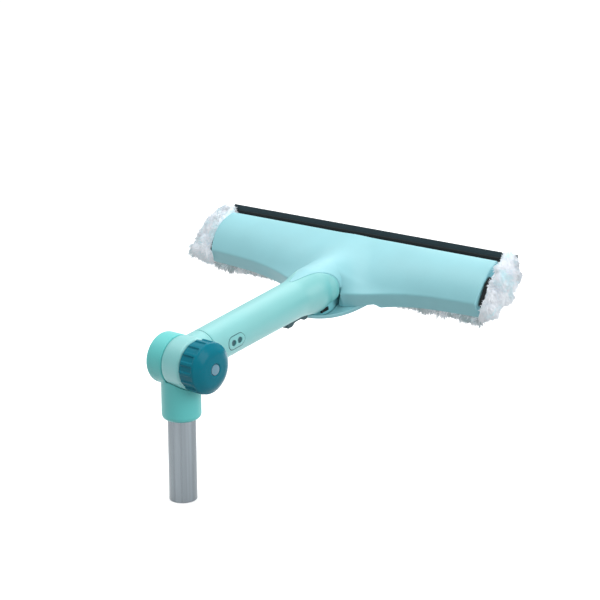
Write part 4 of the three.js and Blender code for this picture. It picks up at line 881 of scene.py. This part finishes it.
def keel_room(play):
    half = KEEL_WIDTH / 2 + KEEL_GAP
    sections = []
    for x in np.linspace(-half, half, 24):
        front = chin_depth(x) - LIP_RIM - play
        run = [-46 - (front - 46) * k / 16 for k in range(17)]
        sections.append([(x, y, chin_floor(y) + BASE_THICK + play) for y in run] + [(x, -front, 40), (x, -46, 40)])
    return skin(sections)


plate_half = HEAD_HALF + END_DRAFT - SHELL_WALL - 1.2
base = block(-plate_half, plate_half, -HEAD_DEPTH + 1, -SHELL_WALL - GAP, -HEAD_THICK, -HEAD_THICK + BASE_THICK)
chin_at = [-CHIN_HALF, -51.4, *np.arange(-50, 50.1, 1.25), 51.4, CHIN_HALF]
join(base, skin([chin_section(x) for x in chin_at]))
cut(base, keel_room(0))
for side in (-1, 1):
    root, tip = side * (plate_half - 12), side * (plate_half + WING_REACH)
    wing = rounded([[root, -HEAD_DEPTH + 3], [side * plate_half, -HEAD_DEPTH + 3],
                    [tip, -HEAD_DEPTH + 12, WING_ROUND], [tip, -9, WING_ROUND],
                    [side * plate_half, -4], [root, -4]])
    join(base, prism(wing, "z", -HEAD_THICK - WING_THICK, -HEAD_THICK - GAP),
         block(root, root + side * 6, -HEAD_DEPTH + 6, -8, -HEAD_THICK - 1, -HEAD_THICK + 1))
place(base, "base_shell_skin", HEAD, "arm", SHELL_ABS, ["base_shell"], sharp=32)

# %% [markdown]
# ## Neck and keel
#
# The neck is the tube that the arm's end slips over, and the keel below it, which fills the mouth between the
# arm and the chin. Both are the housing's pale blue made paler, which is painted light for the shade they sit
# in. A dark block behind the slot in each of its sides is painted shade for the unlit inside.

# %% Neck
SLOT_AT, SLOT_DEPTH, SLOT_HALF, SLOT_RISE = ARM_END - 12.8, 18.6, 4.7, 1.6
flange_at, neck_bore, neck_start = ARM_END + 1.5, SPIGOT_R - SPIGOT_WALL, 150
neck = revolve([[neck_bore, neck_start], [SPIGOT_R, neck_start, 1], [SPIGOT_R, flange_at], [FLANGE_R, flange_at],
                [FLANGE_R, flange_at + 3], [neck_bore, flange_at + 3]], "y")
nose = [(KEEL_WIDTH / 2 * math.sin(turn), KEEL_NOSE - KEEL_REACH - KEEL_NOSE * math.cos(turn))
        for turn in np.linspace(-math.pi / 2, math.pi / 2, 49)]
keel = moved(prism([(-KEEL_WIDTH / 2, -50), *nose, (KEEL_WIDTH / 2, -50)], "z", -HEAD_THICK, 30), HEAD_ON_ARM)
above = [(ARM_END - t, -EDGE_TOP - 0.5 - EDGE_DROP * (1 - math.exp(-t / EDGE_RUN))) for t in np.linspace(0, 38, 24)]
below = [(ARM_END - 38, -34), (ARM_END + 16, -34), (ARM_END + 16, -8.5)]
keep_inside(keel, moved(keel_room(0.5), HEAD_ON_ARM), prism(above + below, "x", -KEEL_WIDTH, KEEL_WIDTH))


def slot_block(x0, x1, more):
    return block(x0, x1, SLOT_AT - SLOT_HALF - more, SLOT_AT + SLOT_HALF + more,
                 -SLOT_DEPTH - SLOT_RISE - more, -SLOT_DEPTH + SLOT_RISE + more)


for side in (-1, 1):
    wall = side * KEEL_WIDTH / 2
    cut(keel, slot_block(wall - side * 3, wall + side, 0))
moulded(keel, 0.3)
join(neck, keel)
# painted light: the neck and keel take the paler copy of the housing's blue, for the shade they sit in
place(neck, "neck_socket_body", ARM, "arm", NECK_PAINTED_LIGHT_ABS, ["neck_socket"], sharp=40)
for side, name in ((-1, "left"), (1, "right")):
    deep = side * (KEEL_WIDTH / 2 - 2.4)
    place(slot_block(deep, deep + side * 1.9, 0.2), f"keel_slot_shade_{name}", ARM, "arm", BLACK_ABS)

# %% [markdown]
# ## Blade and rail
#
# The rubber blade sits in a black rail along the back edge, tilted so that its working edge leads.

# %% Blade and rail
BLADE_HALF, BLADE_WIDTH, BLADE_THICK, BLADE_TILT = 165.0, 12.5, 2.0, 41.0
BLADE_TIP = (0, 13.6, -5.9)
RAIL_THICK, RAIL_DEPTH, RAIL_HALF = 5.0, 7.6, 162.0
rail_lip = -BLADE_WIDTH + RAIL_DEPTH
BLADE_FRAME = Matrix.Translation(BLADE_TIP) @ Matrix.Rotation(math.radians(BLADE_TILT), 4, "X")


def along_blade(outline, x0, x1):
    """A prism along the blade, its outline drawn in the blade's own (across, up) plane."""
    return moved(prism(rounded(outline, 4), "x", *sorted((x0, x1))), BLADE_FRAME)


def slab(across, half, round_off):
    """The outline of a rectangle between two places across, rounded at its corners."""
    return [[across[0], -half, round_off], [across[0], half, round_off],
            [across[1], half, round_off], [across[1], -half, round_off]]


t = BLADE_THICK / 2
lean = 0.5 + (t - 0.5) * 0.44
blade = along_blade([[0, -0.5, 0.08], [0, 0.5, 0.08], [-2.2, lean, 6], [-5, t, 3], [-BLADE_WIDTH, t, 0.2],
                     [-BLADE_WIDTH, -t, 0.2], [-5, -t, 3], [-2.2, -lean, 6]], -BLADE_HALF, BLADE_HALF)
for side in (-1, 1):
    cut(blade, along_blade(slab((rail_lip + GAP, -20), 5, 0), side * RAIL_HALF, side * (BLADE_HALF + 1)))
place(blade, "rubber_blade_strip", HEAD, "arm", BLADE_RUBBER, ["rubber_blade"], sharp=30)

rail = along_blade(slab((rail_lip, -BLADE_WIDTH - 1.4), RAIL_THICK / 2, 0.6), -RAIL_HALF, RAIL_HALF)
join(rail, block(-RAIL_HALF, RAIL_HALF, GAP, 5, -HEAD_THICK + 0.4, -8))
cut(rail, along_blade(slab((2, -BLADE_WIDTH - GAP), t + GAP, 0), -RAIL_HALF - 1, RAIL_HALF + 1),
    block(-RAIL_HALF - 1, RAIL_HALF + 1, -10, GAP, -40, 10))
place(rail, "blade_rail_channel", HEAD, "arm", BLACK_ABS, ["blade_rail"], sharp=30)

# %% [markdown]
# ## Microfibre cover
#
# Under the pile are three soft padded bodies: the pad, which starts from its plain solid, a little smaller, and
# two end pockets, drawn from sections. Each gets an even mesh by voxel remeshing, and cloth physics with a
# gentle pressure puffs it. A cap on how far a point may move keeps it in its room.

# %% Padded bodies
COVER_HALF, COVER_THICK, COVER_TOP = 157.4, 9.0, -16.7
PUFF_GRID, PUFF_PRESSURE, PUFF_CAP, PUFF_STEPS = 4.0, 4.0, 2.0, 20
LUMPS = (7.5, 1.0, 3.0), (3.0, 0.6, 9.0)        # width in millimetres, share of the height, shift of the noise
POCKET_SECTIONS = (0, 2.5), (0.1, 0.8), (0.3, 0), (0.65, 0), (0.88, 2.0), (1, 5.0)   # share outwards, taken in


def read_points(body, what="co"):
    values = np.empty(len(body.data.vertices) * 3)
    body.data.vertices.foreach_get(what, values)
    return values.reshape(-1, 3)


def write_points(body, points):
    body.data.vertices.foreach_set("co", points.ravel())
    body.data.update()


def puffed(body):
    """An even mesh of a body, blown up a little by cloth physics, with no point moved further than the cap."""
    remesh = body.modifiers.new("grid", "REMESH")
    remesh.mode, remesh.voxel_size = "VOXEL", PUFF_GRID * 0.001
    apply(body)
    start = read_points(body)
    cloth = body.modifiers.new("puff", "CLOTH")
    cloth.settings.use_pressure = True
    cloth.settings.uniform_pressure_force = PUFF_PRESSURE
    cloth.settings.effector_weights.gravity = 0
    scene = bpy.context.scene
    scene.frame_start, scene.frame_end = 1, PUFF_STEPS
    for step in range(1, PUFF_STEPS + 1):
        scene.frame_set(step)
    apply(body)
    scene.frame_set(1)
    travel = read_points(body) - start
    far = np.linalg.norm(travel, axis=1, keepdims=True)
    write_points(body, start + travel * np.minimum(1.0, PUFF_CAP * 0.001 / np.maximum(far, 1e-9)))
    return body


def ruffled(body, levels, height):
    """Subdivides a puffed body and raises soft locks on it, in two sizes of lump."""
    smoother = body.modifiers.new("round", "SUBSURF")
    smoother.levels = smoother.render_levels = levels
    apply(body)
    points, normals = read_points(body), read_points(body, "normal")
    rise = np.zeros(len(points))
    for width, share, shift in LUMPS:
        rise += [share * height * noise.noise(Vector(p) * per_metre(width) + Vector((shift,) * 3)) for p in points]
    write_points(body, points + normals * rise[:, None] * 0.001)
    # painted shade: the colour number follows the height, darker in the hollows and paler on the lumps
    body.data.attributes.new("tone_and_shade", "FLOAT", "POINT")
    body.data.attributes["tone_and_shade"].data.foreach_set("value", np.clip(0.5 + rise, 0, 1).astype(np.float32))
    return body


def pocket(side, thickness, low_bulge, top_bulge=0.0, over_top=0.0, back_rise=0.0, clear=0.0):
    """The cover's end, slipped over the end of the base: a five-sided slab with soft corners.

    It swells by low_bulge at its low front corner, which laps under the housing, and by top_bulge at its top.
    over_top laps the top over the housing's end, and clear holds its front part off it. back_rise lifts the
    back corner."""
    sections = []
    for share, taken_in in POCKET_SECTIONS:
        low = COVER_TOP - COVER_THICK + 3 + taken_in
        outline = rounded([[7.5 - taken_in, 3 + back_rise - taken_in, 5], [2 - taken_in, low + 3, 3],
                           [-HEAD_DEPTH - 2 + taken_in, low, 4], [-HEAD_DEPTH - 2.5 + taken_in, -6 - taken_in, 4],
                           [-22, 7.5 - taken_in, 12]], 4)
        ring = []
        for y, z in outline:
            low_front = smooth(-12, -42, y) * smooth(6, -6, z) * (1 - 0.6 * smooth(-44, -54, y))
            stretch = 1 + low_bulge * low_front + top_bulge * smooth(-27, -5, y)
            lap = (5.5 + clear) * smooth(-30, -48, y) * smooth(-2, -12, z)
            inner = COVER_HALF + 0.6 + clear * smooth(-6, -24, y) - lap - over_top * smooth(-14, 3, z)
            ring.append((side * (inner + share * thickness * stretch), y, z))
        sections.append(ring)
    return moved(skin(sections if side > 0 else sections[::-1]), HEAD)


def cover_piece(body, name, stands_for, levels=2, height=1.3, finish=BACKING_FIBRE):
    ruffled(puffed(body), levels, height)
    place(body, name, Matrix.Identity(4), "arm", finish, [stands_for], sharp=180)
    return body


def pad_core():
    """The plain solid of the pad, welded and taken in by a little."""
    body = linked("pad", nodes["cover_pad"].data.copy())
    edit(body.data, lambda shape: bmesh.ops.remove_doubles(shape, verts=shape.verts, dist=1e-5))
    write_points(body, read_points(body) - read_points(body, "normal") * 0.0006)
    return body


tuft_right = cover_piece(pocket(1, 8.5, low_bulge=0.3, top_bulge=0.65, back_rise=4.0, clear=2.5),
                         "cover_pocket_right", "cover_end_right")
tuft_left = cover_piece(pocket(-1, 20.5, low_bulge=0.6, over_top=4.0), "cover_pocket_left", "cover_end_left")
# painted shade: the pad's body takes the darker copy of the pile, as it lies in the housing's shadow
pad = cover_piece(pad_core(), "cover_pad_body", "cover_pad", 1, 0.7, PAINTED_SHADE_FIBRE)

# %% [markdown]
# ## Pile
#
# The pile is thousands of small curved, tapering tufts. A real filament is far too fine to show, so each tuft
# stands for a bundle of them. Points are scattered over the padded body with a fixed seed, and each tuft leans
# with a slow random field, so neighbours fall together into soft locks. That field has a fixed seed as well.

# %% Pile
noise.seed_set(7)                                # without a seed the random vectors start from the clock
STEPS, SIDES, HANG = 4, 3, 0.25
TAPER = np.array([0.8, 1.0, 0.92, 0.66, 0.16])   # a tuft's thickness at each step from root to tip
TUFT = woven([[level * SIDES + k for k in range(SIDES)] for level in range(STEPS + 1)])


def surface_of(body):
    """Triangles of a mesh as corner arrays with unit normals and areas."""
    mesh = body.data
    mesh.calc_loop_triangles()
    corners = np.empty(len(mesh.loop_triangles) * 3, np.int32)
    mesh.loop_triangles.foreach_get("vertices", corners)
    triangles = read_points(body)[corners.reshape(-1, 3)]
    cross = np.cross(triangles[:, 1] - triangles[:, 0], triangles[:, 2] - triangles[:, 0])
    double = np.maximum(np.linalg.norm(cross, axis=1), 1e-12)
    return triangles, cross / double[:, None], double / 2


def drift(points, size, seed):
    """A slow random vector for each point, the same on every run."""
    shift = Vector((seed * 7.3, seed * 3.1, seed * 5.7))
    return np.array([noise.noise_vector(Vector(p) / size + shift) for p in points])


def pile(body, name, count, length, width, seed, keep, lean=0.9, finish=PILE_FIBRE):
    """Tufts of a length and width in millimetres, rooted on the faces of a body that `keep` picks."""
    rng = np.random.default_rng(seed)
    triangles, normals, areas = surface_of(body)
    chosen = keep(triangles.mean(1), normals)
    triangles, normals, areas = triangles[chosen], normals[chosen], areas[chosen]
    pick = rng.choice(len(areas), count, p=areas / areas.sum())
    u, v = np.sqrt(rng.random(count)), rng.random(count)
    tri, out = triangles[pick], normals[pick]
    root = tri[:, 0] * (1 - u)[:, None] + tri[:, 1] * (u * (1 - v))[:, None] + tri[:, 2] * (u * v)[:, None]
    root = root - out * 0.0006
    field = drift(root, 0.0085, seed) * 1.3 + drift(root, 0.004, seed + 1) * 0.5
    bend = lean * field + rng.normal(0, 0.16, (count, 3)) + np.array([0, 0, -HANG])
    size = length * 0.001 * (0.82 + 0.3 * rng.random(count) + 0.35 * drift(root, 0.012, seed + 2)[:, 0])
    thick = width * 0.001 * (0.75 + 0.5 * rng.random(count))
    levels = np.linspace(0, 1, STEPS + 1)
    spine = (root[:, None] + out[:, None] * (size[:, None] * levels * (1 - 0.25 * levels))[..., None]
             + bend[:, None] * (size[:, None] * levels ** 2 * 0.75)[..., None])
    tangent = np.gradient(spine, axis=1)
    tangent /= np.linalg.norm(tangent, axis=2, keepdims=True) + 1e-12
    other = np.cross(tangent, rng.normal(size=(count, 1, 3)))
    other /= np.linalg.norm(other, axis=2, keepdims=True) + 1e-12
    third = np.cross(tangent, other)
    angle = (np.arange(SIDES) * 2 * np.pi / SIDES)[:, None]
    ring = other[:, :, None] * np.cos(angle) + third[:, :, None] * np.sin(angle)
    points = spine[:, :, None] + ring * (thick[:, None] * TAPER)[:, :, None, None] * 0.5
    base = np.arange(count)[:, None, None] * len(TAPER) * SIDES
    caps = [list(range(SIDES))[::-1], [STEPS * SIDES + k for k in range(SIDES)]]
    faces = [face for part in (TUFT, caps) for face in (np.array(part) + base).reshape(-1, len(part[0])).tolist()]
    mesh = bpy.data.meshes.new(name)
    mesh.from_pydata(points.reshape(-1, 3), [], faces)
    tone = np.clip(0.5 + 0.9 * drift(root, 0.006, seed + 3)[:, 0] + rng.normal(0, 0.16, count), 0, 1)
    # painted shade: each tuft darkens towards its root, where its neighbours shade it; its random tone is its own
    tone_and_shade = (tone[:, None] * (0.55 + 0.45 * levels)).repeat(SIDES, axis=1)
    mesh.attributes.new("tone_and_shade", "FLOAT", "POINT").data.foreach_set("value", tone_and_shade.astype(np.float32).ravel())
    place(linked(name, mesh), name, Matrix.Identity(4), "arm", finish, sharp=180)
    soft = out[:, None, None] * 0.8 + ring * 0.55 + tangent[:, :, None] * 0.15
    soft /= np.linalg.norm(soft, axis=3, keepdims=True)
    mesh.normals_split_custom_set_from_vertices(soft.reshape(-1, 3).tolist())


head_up = np.array((HEAD.to_3x3() @ Vector((0, 0, 1))).normalized())


def off_the_housing(points, normals):
    """Leaves out the faces that look at the end of the housing, so the locks don't hang over it."""
    return normals[:, 0] * np.sign(points[:, 0]) > -0.35


pile(tuft_right, "pile_right", 7000, 5.0, 0.7, 11, off_the_housing)
pile(tuft_left, "pile_left", 7500, 5.2, 0.7, 23, off_the_housing)
pile(pad, "pile_pad_under", 7600, 5.4, 0.8, 31, lambda points, normals: normals @ head_up < 0.6, lean=0.6)
# painted shade: the pad's edge takes the darker copy, for the shadow of the housing's bevel
pile(pad, "pile_pad_edge", 7500, 4.4, 0.68, 47, lambda points, normals: abs(normals @ head_up) < 0.55, lean=0.6,
     finish=PAINTED_SHADE_FIBRE)

# %% [markdown]
# ## Solids that stay
#
# Small fittings keep their own solids: screws, bolt, washers, springs, latch bar and hook tape. They only
# need real finishes. The cover clips are black so that the gap between the housing's ends and the cover falls
# dark: painted shade.

# %% Finishes for the solids that stay
FINISHES = {"knob_insert": TURNED_BRASS, "friction_disc": FRICTION_LINING, "latch_bar": SLATE_ABS}
# painted shade: the black of the cover clips darkens the gap at the housing's ends
BY_WORD = {"rail_cap": BLACK_ABS, "cover_clip": BLACK_ABS, "grip_strip": HOOK_NYLON, "screw": ZINC_STEEL,
           "bolt": ZINC_STEEL, "washer": ZINC_STEEL, "spring": ZINC_STEEL}
for name, node in nodes.items():
    if node.hide_render:
        continue
    finish = FINISHES.get(name) or next((BY_WORD[word] for word in BY_WORD if word in name), SHELL_ABS)
    node.data.materials.clear()
    node.data.materials.append(finish)
    for polygon in node.data.polygons:
        polygon.use_smooth = False
print("solids kept:", sorted(n for n, o in nodes.items() if not o.hide_render))

# %% [markdown]
# ## Floor, light and camera
#
# A pale floor and a white room. The lamps, one overhead, one at the side and one behind, are large, so shadows
# are soft, and their level is plain: a surface that faces them renders about as its colour is written. The
# camera is a long lens a little above the head.

# %% Floor and room
def seen_directly(tree):
    """1 for rays from the camera, a mirror or glass, which are to see plain white, and 0 for light that lands."""
    rays = add(tree, "LightPath").outputs
    either = add(tree, "Math", {0: rays["Is Camera Ray"], 1: rays["Is Glossy Ray"]}, operation="MAXIMUM")
    return add(tree, "Math", {0: either, 1: rays["Is Transmission Ray"]}, operation="MAXIMUM")


def pale_floor():
    material, tree = new_material("floor_white_card")
    card = add(tree, "BsdfDiffuse", {"Color": (0.34, 0.34, 0.34, 1.0)})
    bright = add(tree, "BsdfDiffuse", {"Color": (0.86, 0.86, 0.86, 1.0)})
    glow = add(tree, "Emission", {"Color": (1.0, 1.0, 1.0, 1.0), "Strength": 0.5})
    both = add(tree, "AddShader", {0: bright, 1: glow})
    return close_material(material, add(tree, "MixShader", {"Fac": seen_directly(tree), 1: card, 2: both}))


FLOOR_HALF, FLOOR_DROP = 6.0, 0.0005
floor = mesh_object("floor", [(FLOOR_HALF * x, FLOOR_HALF * y, -FLOOR_DROP)
                              for x, y in ((-1, -1), (1, -1), (1, 1), (-1, 1))], [[0, 1, 2, 3]])
floor.data.materials.append(pale_floor())

world = bpy.data.worlds.new("white_room")
bpy.context.scene.world = world
world.use_nodes = True
room = world.node_tree
room.nodes.clear()
facing = add(room, "TexCoord").outputs["Generated"]
height = add(room, "SeparateXYZ", {"Vector": facing}).outputs["Z"]
level = add(room, "MapRange", {"Value": height, "From Min": 0.0, "From Max": 0.8, "To Min": 0.22, "To Max": 0.8})
soft = add(room, "Background", {"Color": (0.95, 0.98, 1.0, 1.0), "Strength": level})
white = add(room, "Background", {"Color": (1.0, 1.0, 1.0, 1.0), "Strength": 1.0})
add(room, "OutputWorld", {"Surface": add(room, "MixShader", {"Fac": seen_directly(room), 1: soft, 2: white})})


def lamp(name, at, aim, size, power):
    data = bpy.data.lights.new(name, "AREA")
    data.shape, data.size, data.energy = "DISK", size, power
    light = linked(name, data)
    light.location = at
    light.rotation_euler = (Vector(aim) - Vector(at)).to_track_quat("-Z", "Y").to_euler()


lamp("overhead", (-0.3, -0.1, 1.5), (0, 0.2, 0.2), 1.4, 9.2)
lamp("side", (1.7, 0.2, 0.85), (0, 0.1, 0.15), 1.2, 13)
lamp("back", (-0.3, 1.6, 1.5), (0, 0.1, 0.13), 1.9, 14)
print("floor, room and three lamps made")

# %% Camera
FOCAL = 96.0             # millimetres on a 36 mm sensor
CAMERA_AT = Vector((0.8815, -0.9068, 0.5260))
CAMERA_BACK = Vector((0.6154, -0.7410, 0.2689))
camera = linked("camera", bpy.data.cameras.new("camera"))
camera.data.lens, camera.data.sensor_width = FOCAL, 36.0
camera.location = CAMERA_AT
camera.rotation_euler = (-CAMERA_BACK).to_track_quat("-Z", "Y").to_euler()
bpy.context.scene.camera = camera
bpy.context.scene.view_settings.view_transform = "Standard"
